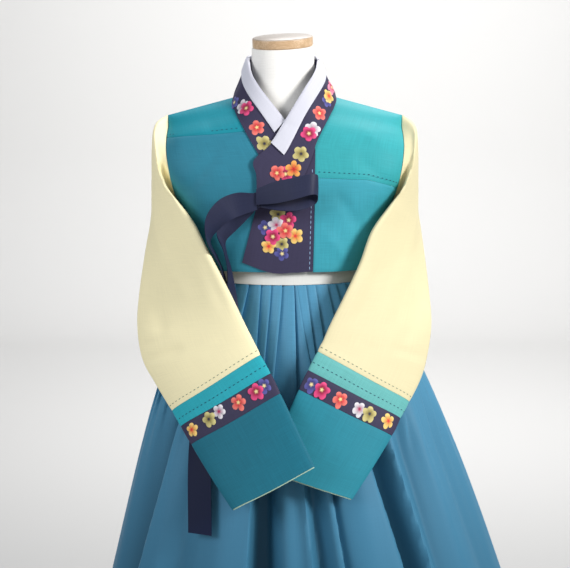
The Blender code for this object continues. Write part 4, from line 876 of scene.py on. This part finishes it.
def collarFace(table, lift, count, across):
    # Across the band: straight from the outer edge, which lies on the jacket, to the inner edge, kept
    # clear of the jacket by the lift at that share of the width.
    c = resample(table, count)
    outer = c[:, [0, 2, 1]].copy()
    front = c[:, 2] < -0.001
    outer[front, 1] = frontDepth(c[front, 0], c[front, 1])
    s = across[None, :, None]
    grid = outer[:, None] * (1 - s) + c[:, None, 3:6] * s
    clear = frontDepth(grid[..., 0], grid[..., 2]) - np.interp(across, collars["liftAt"], lift)[None]
    grid[..., 1] = np.where(grid[..., 1] < 0.002, np.minimum(grid[..., 1], clear), grid[..., 1])
    return grid


def makeCollar(side, lift):
    # The band with a slight crown across it, then the white strip over its inner part, wrapped round
    # the band's inner edge.
    table = collars[side]
    count = (len(table) - 1) * collars["perRow"] + 1
    across = np.linspace(0, 1, collars["across"])
    base = collarFace(table, lift, count, across)
    n = outwardNormals(base, (0.0, -0.01, 1.3))
    crown = collars["crown"] * np.minimum(1, 6 * np.minimum(across, 1 - across))**0.5
    outer = base + n * (collars["thick"] * 0.55 + crown * 0.45)[None, :, None]
    git = shell("git" + side.capitalize(), outer, collars["gitWall"], n, "trimPurple", "trim_purple")
    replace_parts(git, "jeogori_git_" + side)
    sewn(outer)
    rows = collars["stripEnd"][side] * collars["perRow"] + 1
    wide = np.linspace(collars["stripFrom"], 1.0, collars["stripAcross"])
    strip = rowValues(np.moveaxis(outer, 1, 0), wide * (collars["across"] - 1))
    strip = np.moveaxis(strip, 0, 1)[:rows]
    m = rowValues(np.moveaxis(n, 1, 0), wide * (collars["across"] - 1))
    m = unit(np.moveaxis(m, 0, 1)[:rows])
    fold = collars["stripFold"] * np.clip(np.minimum(wide - wide[0], wide[-1] - wide) * 40, 0, 1)**0.5
    strip = strip + m * (collars["stripWall"] + fold + collars["strip"])[None, :, None]
    reach = np.clip((collars["wrapTo"] - np.arange(rows) / collars["perRow"]) / 1.2, 0.12, 1)[:, None, None]
    ahead = unit(strip[:, -1] - strip[:, -3])[:, None]
    outs, ins, downs, ups, overs = (np.array(collars["wrap" + key])[:, None]
                                    for key in ("Out", "In", "Down", "Up", "Over"))
    turnOver = ahead * outs + m[:, -1:] * ins * reach
    down = ahead * downs * reach
    strip = np.concatenate([strip, strip[:, -1:] + turnOver - down], 1)
    m = np.concatenate([m, unit(m[:, -1:] * ups + ahead * overs)], 1)
    white = shell("dongjeong" + side.capitalize(), strip, collars["stripWall"], m, "stripWhite",
                  "strip_white")
    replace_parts(white, "dongjeong_" + side)
    sewn(strip)
    return outer, n


collarGrids = {"under": makeCollar("under", collars["liftUnder"]),
               "over": makeCollar("over", collars["liftOver"])}
bottom, top = (resample(np.array(overlap[key]), overlap["columns"]) for key in ("bottom", "top"))
t = np.linspace(0, 1, overlap["levels"])[:, None, None]
flat = bottom[None] * (1 - t) + top[None] * t
depth = frontDepth(flat[..., 0], flat[..., 1]) - overlap["clear"] - overlap["thick"]
grid = np.stack([flat[..., 0], depth, flat[..., 1]], -1)
n = outwardNormals(grid, (0, 0, 1.2))
seop = shell("overlapPanel", grid, overlap["thick"], n, "trimPurple", "trim_purple")
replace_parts(seop, "jeogori_seop")
sewn(grid)
seopGrid = (grid, n)
print("collar and overlap are on")

# The ribbon bow
bow = dict(
    loop=[  # middle x y z, half width x y z
        (-0.0443, -0.1432, 1.2255, 0.0, -0.001, 0.0122), (-0.015, -0.153, 1.233, -0.001, 0.001, 0.0165),
        (0.015, -0.16, 1.24, -0.002, 0.003, 0.016), (0.04, -0.16, 1.246, -0.001, 0.002, 0.0155),
        (0.05, -0.15, 1.243, 0.0, 0.0, 0.016), (0.046, -0.1385, 1.23, 0.0, 0.004, 0.016),
        (0.02, -0.1385, 1.218, 0.0, 0.015, 0.0125), (-0.008, -0.137, 1.2175, 0.0, 0.013, 0.0125),
        (-0.04, -0.1335, 1.2205, 0.0, 0.002, 0.0115)],
    long=[
        (-0.044, -0.1408, 1.218, -0.001, -0.001, 0.0128), (-0.072, -0.141, 1.214, -0.004, -0.002, 0.0175),
        (-0.093, -0.148, 1.205, -0.01, -0.006, 0.015), (-0.11, -0.152, 1.186, -0.011, -0.013, 0.008),
        (-0.118, -0.148, 1.158, -0.002, -0.0165, 0.002), (-0.107, -0.13, 1.131, -0.001, -0.012, 0.0),
        (-0.0975, -0.123, 1.106, -0.001, -0.0095, 0.0), (-0.096, -0.119, 1.07, -0.007, -0.005, 0.0),
        (-0.109, -0.129, 1.0, -0.014, 0.001, 0.0), (-0.123, -0.147, 0.93, -0.017, 0.003, 0.0),
        (-0.13, -0.164, 0.86, -0.018, 0.006, 0.0), (-0.133, -0.177, 0.8, -0.0185, 0.0085, 0.0),
        (-0.132, -0.199, 0.706, -0.0185, 0.0085, 0.0)],
    short=[
        (-0.048, -0.1305, 1.211, 0.0, 0.0, 0.01), (-0.07, -0.129, 1.195, -0.004, -0.001, 0.013),
        (-0.085, -0.127, 1.182, -0.008, -0.002, 0.011), (-0.099, -0.128, 1.162, -0.007, -0.006, 0.007),
        (-0.0935, -0.124, 1.138, -0.002, -0.009, 0.002), (-0.087, -0.12, 1.108, -0.003, -0.0065, 0.0),
        (-0.083, -0.124, 1.06, -0.008, -0.008, 0.0), (-0.08, -0.147, 1.0, -0.012, -0.003, 0.0),
        (-0.079, -0.162, 0.95, -0.013, -0.001, 0.0)],
    thick=0.0011, cup=0.0012, perRow=12, across=15, knot=(-0.0443, -0.1333, 1.219),
    knotHalf=(0.0066, 0.006, 0.0125),
    knotTip=0.06, knotRows=41, knotRound=56, knotSquare=0.55)


def ribbonRun(key, name):
    # A band along a smooth line: middle plus half width times -1 to 1, slightly cupped across.
    r = resample(bow[key], (len(bow[key]) - 1) * bow["perRow"] + 1)
    middle, half = r[:, :3], r[:, 3:]
    s = np.linspace(-1, 1, bow["across"])[None, :, None]
    n = unit(np.cross(np.gradient(middle, axis=0), half))[:, None]
    grid = middle[:, None] + half[:, None] * s + n * bow["cup"] * (1 - s**2) * 0.4
    piece = shell(name, grid + n * bow["thick"] / 2, bow["thick"], n + 0 * grid, "ribbonNavy",
                  "trim_purple")
    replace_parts(piece, "goreum_" + key)
    sewn(grid)


for key, name, restsOn in (("loop", "bowLoop", ["overlapPanel"]), ("long", "ribbonLong", ["skirtCloth"]),
                           ("short", "ribbonShort", ["skirtCloth"])):
    ribbonRun(key, name)
# The knot is a wrapped pad: a rounded box shape with sunk lines round it where the ribbon's edges lie.
tip = np.linspace(bow["knotTip"], math.pi - bow["knotTip"], bow["knotRows"])
tip, turn = np.meshgrid(tip, np.arange(bow["knotRound"]) * tau / bow["knotRound"], indexing="ij")
shape = np.stack([np.cos(turn) * np.sin(tip), np.sin(turn) * np.sin(tip), np.cos(tip)], -1)
middleLine = 0.07 * np.exp(-((shape[..., 0] - 0.35 * shape[..., 2]) / 0.13)**2)
wrap = 1 - middleLine - 0.05 * np.exp(-((shape[..., 0] + 0.62) / 0.1)**2)
boxed = np.sign(shape) * np.abs(shape)**bow["knotSquare"]
knot = np.array(bow["knot"]) + boxed * bow["knotHalf"] * wrap[..., None]
knotPiece = turned("bowKnot", knot[::-1], "ribbonNavy", "trim_purple")
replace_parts(knotPiece, "goreum_knot")
print("ribbon is tied")

# Pale lining just inside the sleeve ends
lining = dict(thick=0.0008, beyond=0.0014, inside=0.0004, rows=7)
for side, (tube, n) in tubes.items():
    inner = tube[-lining["rows"]:] - n[-lining["rows"]:] * (sleeves["thick"] + lining["inside"])
    edge = inner[-1:] + unit(inner[-1:] - inner[-2:-1]) * lining["beyond"]
    inner, m = np.concatenate([inner, edge]), np.concatenate([n[-lining["rows"]:], n[-1:]])
    name = "cuffLining" + side.capitalize()
    piece = shell(name, inner, lining["thick"], m, "liningGreen", "strip_white", ring=True)
    sewn(inner, ring=True)
print("sleeve ends are lined")


# Silk flowers and running stitches
def readGrid(grid, along, across):
    # Bilinear reading at shares of the rows and columns; past an edge the last cell carries on straight.
    a, b = along * (grid.shape[0] - 1), across * (grid.shape[1] - 1)
    i = np.clip(np.floor(a).astype(int), 0, grid.shape[0] - 2)
    j = np.clip(np.floor(b).astype(int), 0, grid.shape[1] - 2)
    p, q = (a - i)[..., None], (b - j)[..., None]
    near = grid[i, j] * (1 - q) + grid[i, j + 1] * q
    far = grid[i + 1, j] * (1 - q) + grid[i + 1, j + 1] * q
    return near * (1 - p) + far * p


def manyRings(name, groups, finish, slot):
    # One mesh of many small closed bodies. Each is a stack of rings with one face over each end.
    points, faces, corners, ends, tints, first = [], [], [], [], [], 0
    for rings, place, tint in groups:
        many, rows, cols = rings.shape[:3]
        one, own = gridFaces(rows, cols, place, True)
        base = first + np.arange(many)[:, None] * rows * cols
        faces.append((base[..., None] + one.reshape(-1, 4)).reshape(-1, 4))
        corners.append(own.reshape(-1, 4, 2))
        ends += (base + np.arange(cols)[::-1]).tolist()
        ends += (base + (rows - 1) * cols + np.arange(cols)).tolist()
        points.append(rings.reshape(-1, 3))
        tints.append(np.broadcast_to(tint, rings.shape).reshape(-1, 3))
        first += many * rows * cols
    return putMesh(name, *(np.concatenate(q) for q in (points, faces, corners)), finish, slot, extra=ends,
                   tint=np.concatenate(tints))


silk = dict(  # outer, inner and centre colour, 0 to 255
    magenta=((226, 74, 128), (150, 20, 60), (245, 225, 160)),
    coral=((240, 120, 110), (214, 50, 60), (240, 220, 150)),
    olive=((206, 194, 130), (160, 146, 84), (40, 40, 66)),
    white=((226, 220, 226), (196, 160, 176), (170, 30, 80)),
    yellow=((248, 205, 120), (240, 150, 80), (220, 50, 60)),
    blue=((92, 92, 160), (60, 60, 120), (245, 225, 160)),
    pink=((240, 130, 160), (200, 50, 90), (245, 225, 160)),
    orange=((244, 170, 90), (226, 100, 60), (200, 40, 50)))
posies = dict(  # share along, share across, colour, layer, turn in degrees, half width in mm
    over=[(0.285, 0.28, "pink", 0, 10, 12), (0.366, 0.3, "blue", 0, 20, 11),
          (0.349, 0.32, "yellow", 1, 40, 12), (0.418, 0.31, "coral", 0, 5, 12.5),
          (0.488, 0.257, "white", 0, 50, 13), (0.52, 0.303, "magenta", 1, 15, 13),
          (0.614, 0.29, "olive", 0, 30, 13), (0.724, 0.33, "magenta", 0, 25, 12),
          (0.684, 0.265, "orange", 1, 0, 13), (0.743, 0.475, "coral", 1, 33, 12.5)],
    under=[(0.545, 0.1, "blue", 0, 12, 11), (0.64, 0.29, "white", 0, 8, 13),
           (0.674, 0.36, "magenta", 1, 44, 13), (0.796, 0.32, "coral", 0, 20, 13),
           (0.876, 0.265, "olive", 0, 60, 13)],
    panel=[(0.62, 0.83, "blue", 0, 30, 12), (0.77, 0.7, "olive", 0, 10, 13),
           (0.62, 0.52, "magenta", 1, 0, 13), (0.63, 0.7, "white", 1, 20, 13),
           (0.36, 0.58, "olive", 0, 40, 12), (0.51, 0.55, "coral", 2, 15, 13),
           (0.48, 0.72, "magenta", 2, 50, 13), (0.38, 0.35, "yellow", 1, 25, 12.5),
           (0.35, 0.75, "yellow", 1, 5, 12), (0.24, 0.55, "blue", 0, 35, 11.5)],
    left=[(0.5, 0.4, "yellow", 0, 10, 11), (0.35, 0.275, "white", 0, 55, 11),
          (0.45, 0.315, "olive", 1, 30, 12), (0.45, 0.21, "coral", 0, 0, 12.5),
          (0.4, 0.1, "blue", 0, 45, 12), (0.45, 0.14, "magenta", 1, 20, 13)],
    right=[(0.6, 0.09, "blue", 0, 15, 12), (0.6, 0.14, "magenta", 1, 40, 13),
           (0.6, 0.21, "coral", 0, 10, 12.5), (0.6, 0.275, "white", 0, 25, 11.5),
           (0.6, 0.31, "olive", 1, 50, 12.5), (0.5, 0.39, "yellow", 0, 0, 12)])
petals = dict(round=40, shares=(1.0, 1.0, 0.96, 0.86, 0.72, 0.56, 0.4, 0.27, 0.16, 0.07, 0.02), dome=0.0009,
              layer=0.0008,
              foot=0.0005, button=0.0006, buttonHalf=0.0029)


def screenColour(colour):
    # From a screen value of 0 to 255 to light.
    return ((np.array(colour) / 255 + 0.055) / 1.055)**2.4


def flowerOn(grid, normals, ring, along, across, kind, layer, turned, half):
    # Five round petals laid on a surface. Outline: half times (0.6 + 0.4 |cos of 2.5 turns| to the 0.6).
    # Height: a bell over each petal, low between the petals, with a round button in the middle.
    def at(table, p, q):
        return readGrid(table, p, q % 1.0 if ring else q)

    along, across, d, half = np.array(along), np.array(across), 0.01, half / 1000
    ways = [(at(grid, along + d, across) - at(grid, along - d, across)) / (2 * d),
            (at(grid, along, across + d) - at(grid, along, across - d)) / (2 * d)]
    up = unit(at(normals, along, across))
    first = unit(ways[0] - up * (ways[0] @ up))
    plane = np.stack([first, np.cross(up, first)])
    back = np.linalg.inv(plane @ np.stack(ways, -1))
    theta = np.arange(petals["round"] + 1) * tau / petals["round"]
    bump = np.abs(np.cos(2.5 * (theta - math.radians(turned))))
    share = np.array(petals["shares"])[:, None]
    reach = half * share * (0.6 + 0.4 * bump**0.6)
    flat = np.stack([reach * np.cos(theta), reach * np.sin(theta)], -1)[:, :-1] @ back.T
    base = at(grid, along + flat[..., 0], across + flat[..., 1])
    lift = petals["dome"] * np.sin(math.pi * share**1.3) * (0.35 + 0.65 * bump**0.8)
    lift += petals["button"] * np.exp(-(share * half / petals["buttonHalf"])**2) + petals["layer"] * layer
    lift[0] = -petals["foot"]
    rings = base + unit(at(normals, along + flat[..., 0], across + flat[..., 1])) * lift[:, :-1, None]
    outer, inner, middle = (screenColour(c) for c in silk[kind])
    far = np.clip((share - 0.34) / 0.42, 0, 1.15)[..., None]
    # The colour darkens between the petals: painted shade in the grooves.
    tint = (inner * (1 - far) + outer * far) * (0.55 + 0.45 * bump[:-1, None]**0.6)
    spot = np.exp(-(share * half / petals["buttonHalf"])**4)[..., None]
    place = np.stack([theta * half * 0.7 + 0 * share, share * half + 0 * theta], -1)
    return rings[None], place[None], (tint * (1 - spot) + middle * spot)[None]


def wrapped(table):
    return np.concatenate([table, table[:, :1]], 1)


low, high = (sleeves["perRow"] * (len(sleeves["left"]) - q) for q in (3, 2))
surfaces = {key: (*collarGrids[key], False) for key in ("over", "under")}
surfaces["panel"] = (*seopGrid, False)
for side in ("left", "right"):
    surfaces[side] = (*(wrapped(q[low:high + 1]) for q in tubes[side]), True)
blooms = [flowerOn(*surfaces[key], *spot) for key, spots in posies.items() for spot in spots]
flowers = manyRings("silkFlowers", blooms, "silkThread", "trim_purple")

stitches = dict(half=0.00058, swell=(0.35, 0.9, 1.0, 0.9, 0.35), lift=0.0002, seamAbove=0.235,
                sleeveAbove=0.008, bandShare=0.6,
                lineFrom={1: 0.02, -1: 0.1}, lineTo=0.99, panelLine=((0.01, 0.86), (0.055, 0.085)),
                panelPoints=160,
                seam=(0.0078, 0.0036), panel=(0.008, 0.005), sleeve=(0.008, 0.004),  # pitch and dash
                navy=(0.004, 0.03, 0.08), pale=(0.3, 0.46, 0.68), khaki=(0.19, 0.26, 0.19))


def stitchRow(path, normals, pitch, dash, colour):
    # Dashes along a path: each is five small rings of six points, tapered at both ends.
    gone = np.concatenate([[0], np.cumsum(np.linalg.norm(np.diff(path, axis=0), axis=1))])
    at = np.arange(pitch / 2, gone[-1] - dash / 2, pitch)[:, None] + dash * np.linspace(-0.5, 0.5, 5)
    centre, up = (np.stack([np.interp(at, gone, q[:, c]) for c in range(3)],
                           -1)[:, :, None] for q in (path, normals))
    way = unit(np.gradient(centre, axis=1))
    side = unit(np.cross(up, way))
    turn = (np.arange(6) * tau / 6)[:, None]
    wide = stitches["half"] * np.array(stitches["swell"])[None, :, None, None]
    rings = centre + side * np.cos(turn) * wide + up * (np.sin(turn) * wide * 0.6 + stitches["lift"])
    place = np.stack(np.broadcast_arrays(np.arange(7) * 0.0003, (at - at[:, :1])[..., None]), -1)
    return rings, place, np.array(stitches[colour])


def jacketLine(rows, start, sign, back):
    # A line across a panel at the given rows, with its normals from a narrow strip round it.
    near = rows[None] + np.array([-0.05, 0.0, 0.05])[:, None]
    share = np.linspace(stitches["lineFrom"][sign], stitches["lineTo"], rows.size)[None]
    first = sign * np.abs(startAngle(start, near)) if back else startAngle(start, near)
    strip = jacketPoint(first + (sign * armholeAngle(near) - first) * share, near,
                        np.full_like(near, float(back)))
    return strip[1], outwardNormals(strip, (0, 0, 1.25))[1]


rows = []
for key, start, sign, back in (("left", left, -1, False), ("right", right, 1, False),
                               ("backLeft", behindStart, -1, True), ("backRight", behindStart, 1, True)):
    line = np.interp(np.linspace(0, 1, 120), share, seamAt[key]) + stitches["seamAbove"]
    rows.append(stitchRow(*jacketLine(line, start, sign, back), *stitches["seam"], "navy"))
along, across = (np.linspace(*ends, stitches["panelPoints"]) for ends in stitches["panelLine"])
rows.append(stitchRow(*(readGrid(q, along, across) for q in seopGrid), *stitches["panel"], "pale"))
for tube, n in tubes.values():
    seam = sleeves["perRow"] * (len(sleeves["left"]) - 4)
    above = tube[seam] + unit(tube[seam - 1] - tube[seam]) * stitches["sleeveAbove"]
    within = seam + sleeves["perRow"] * stitches["bandShare"]
    seamUp = wrapped(n[seam - 1:seam])[0]
    rows.append(stitchRow(wrapped(above[None])[0], seamUp, *stitches["sleeve"], "khaki"))
    rows.append(stitchRow(*(wrapped(rowValues(q, np.array([within])))[0] for q in (tube, n)),
                          *stitches["sleeve"], "navy"))
manyRings("runningStitches", rows, "silkThread", "trim_purple")
print("flowers and stitches are sewn on")

# Floor, and the end
floor, wall, curve = (studio[key] for key in ("floor", "wallStart", "wallCurve"))
bend = np.linspace(0, math.pi / 2, 16)[1:]
depth = np.concatenate([np.linspace(-floor, wall, 12), wall + curve * np.sin(bend),
                        np.full(6, wall + curve)])
rise = np.concatenate([np.zeros(12), curve * (1 - np.cos(bend)), curve + np.linspace(0.3, 3.0, 6)])
grid = np.stack(np.broadcast_arrays(np.linspace(-floor, floor, 9)[None], depth[:, None], rise[:, None]), -1)
face = gridFaces(*grid.shape[:2], grid, False)[0].reshape(-1, 4)
mesh = bpy.data.meshes.new("studioPaper")
mesh.from_pydata(grid.reshape(-1, 3).tolist(), [], face.tolist())
mesh.shade_smooth()
paper, tree, shader, add = nodeKit("studioPaper")
tooth = add("ShaderNodeTexNoise", [(add("ShaderNodeTexCoord").outputs[3], 0)], in_2=400.0)
tree.links.new(add("ShaderNodeBump", [(tooth.outputs[0], 2)], in_0=0.1, in_1=0.0005).outputs[0],
               shader.inputs["Normal"])
# Painted shade and light: the paper's colour runs from darker near the front to lighter at the far wall.
away = add("ShaderNodeSeparateXYZ", [(add("ShaderNodeTexCoord").outputs[3], 0)]).outputs[1]
level = add("ShaderNodeMapRange", [(away, 0)], in_1=studio["nearAt"], in_2=studio["farAt"]).outputs[0]
tree.links.new(mixColours(add, level, studio["paperNear"], studio["paperFar"]), shader.inputs["Base Color"])
shader.inputs["Roughness"].default_value = 0.9
mesh.materials.append(paper)
linked(bpy.data.objects.new("studioPaper", mesh))
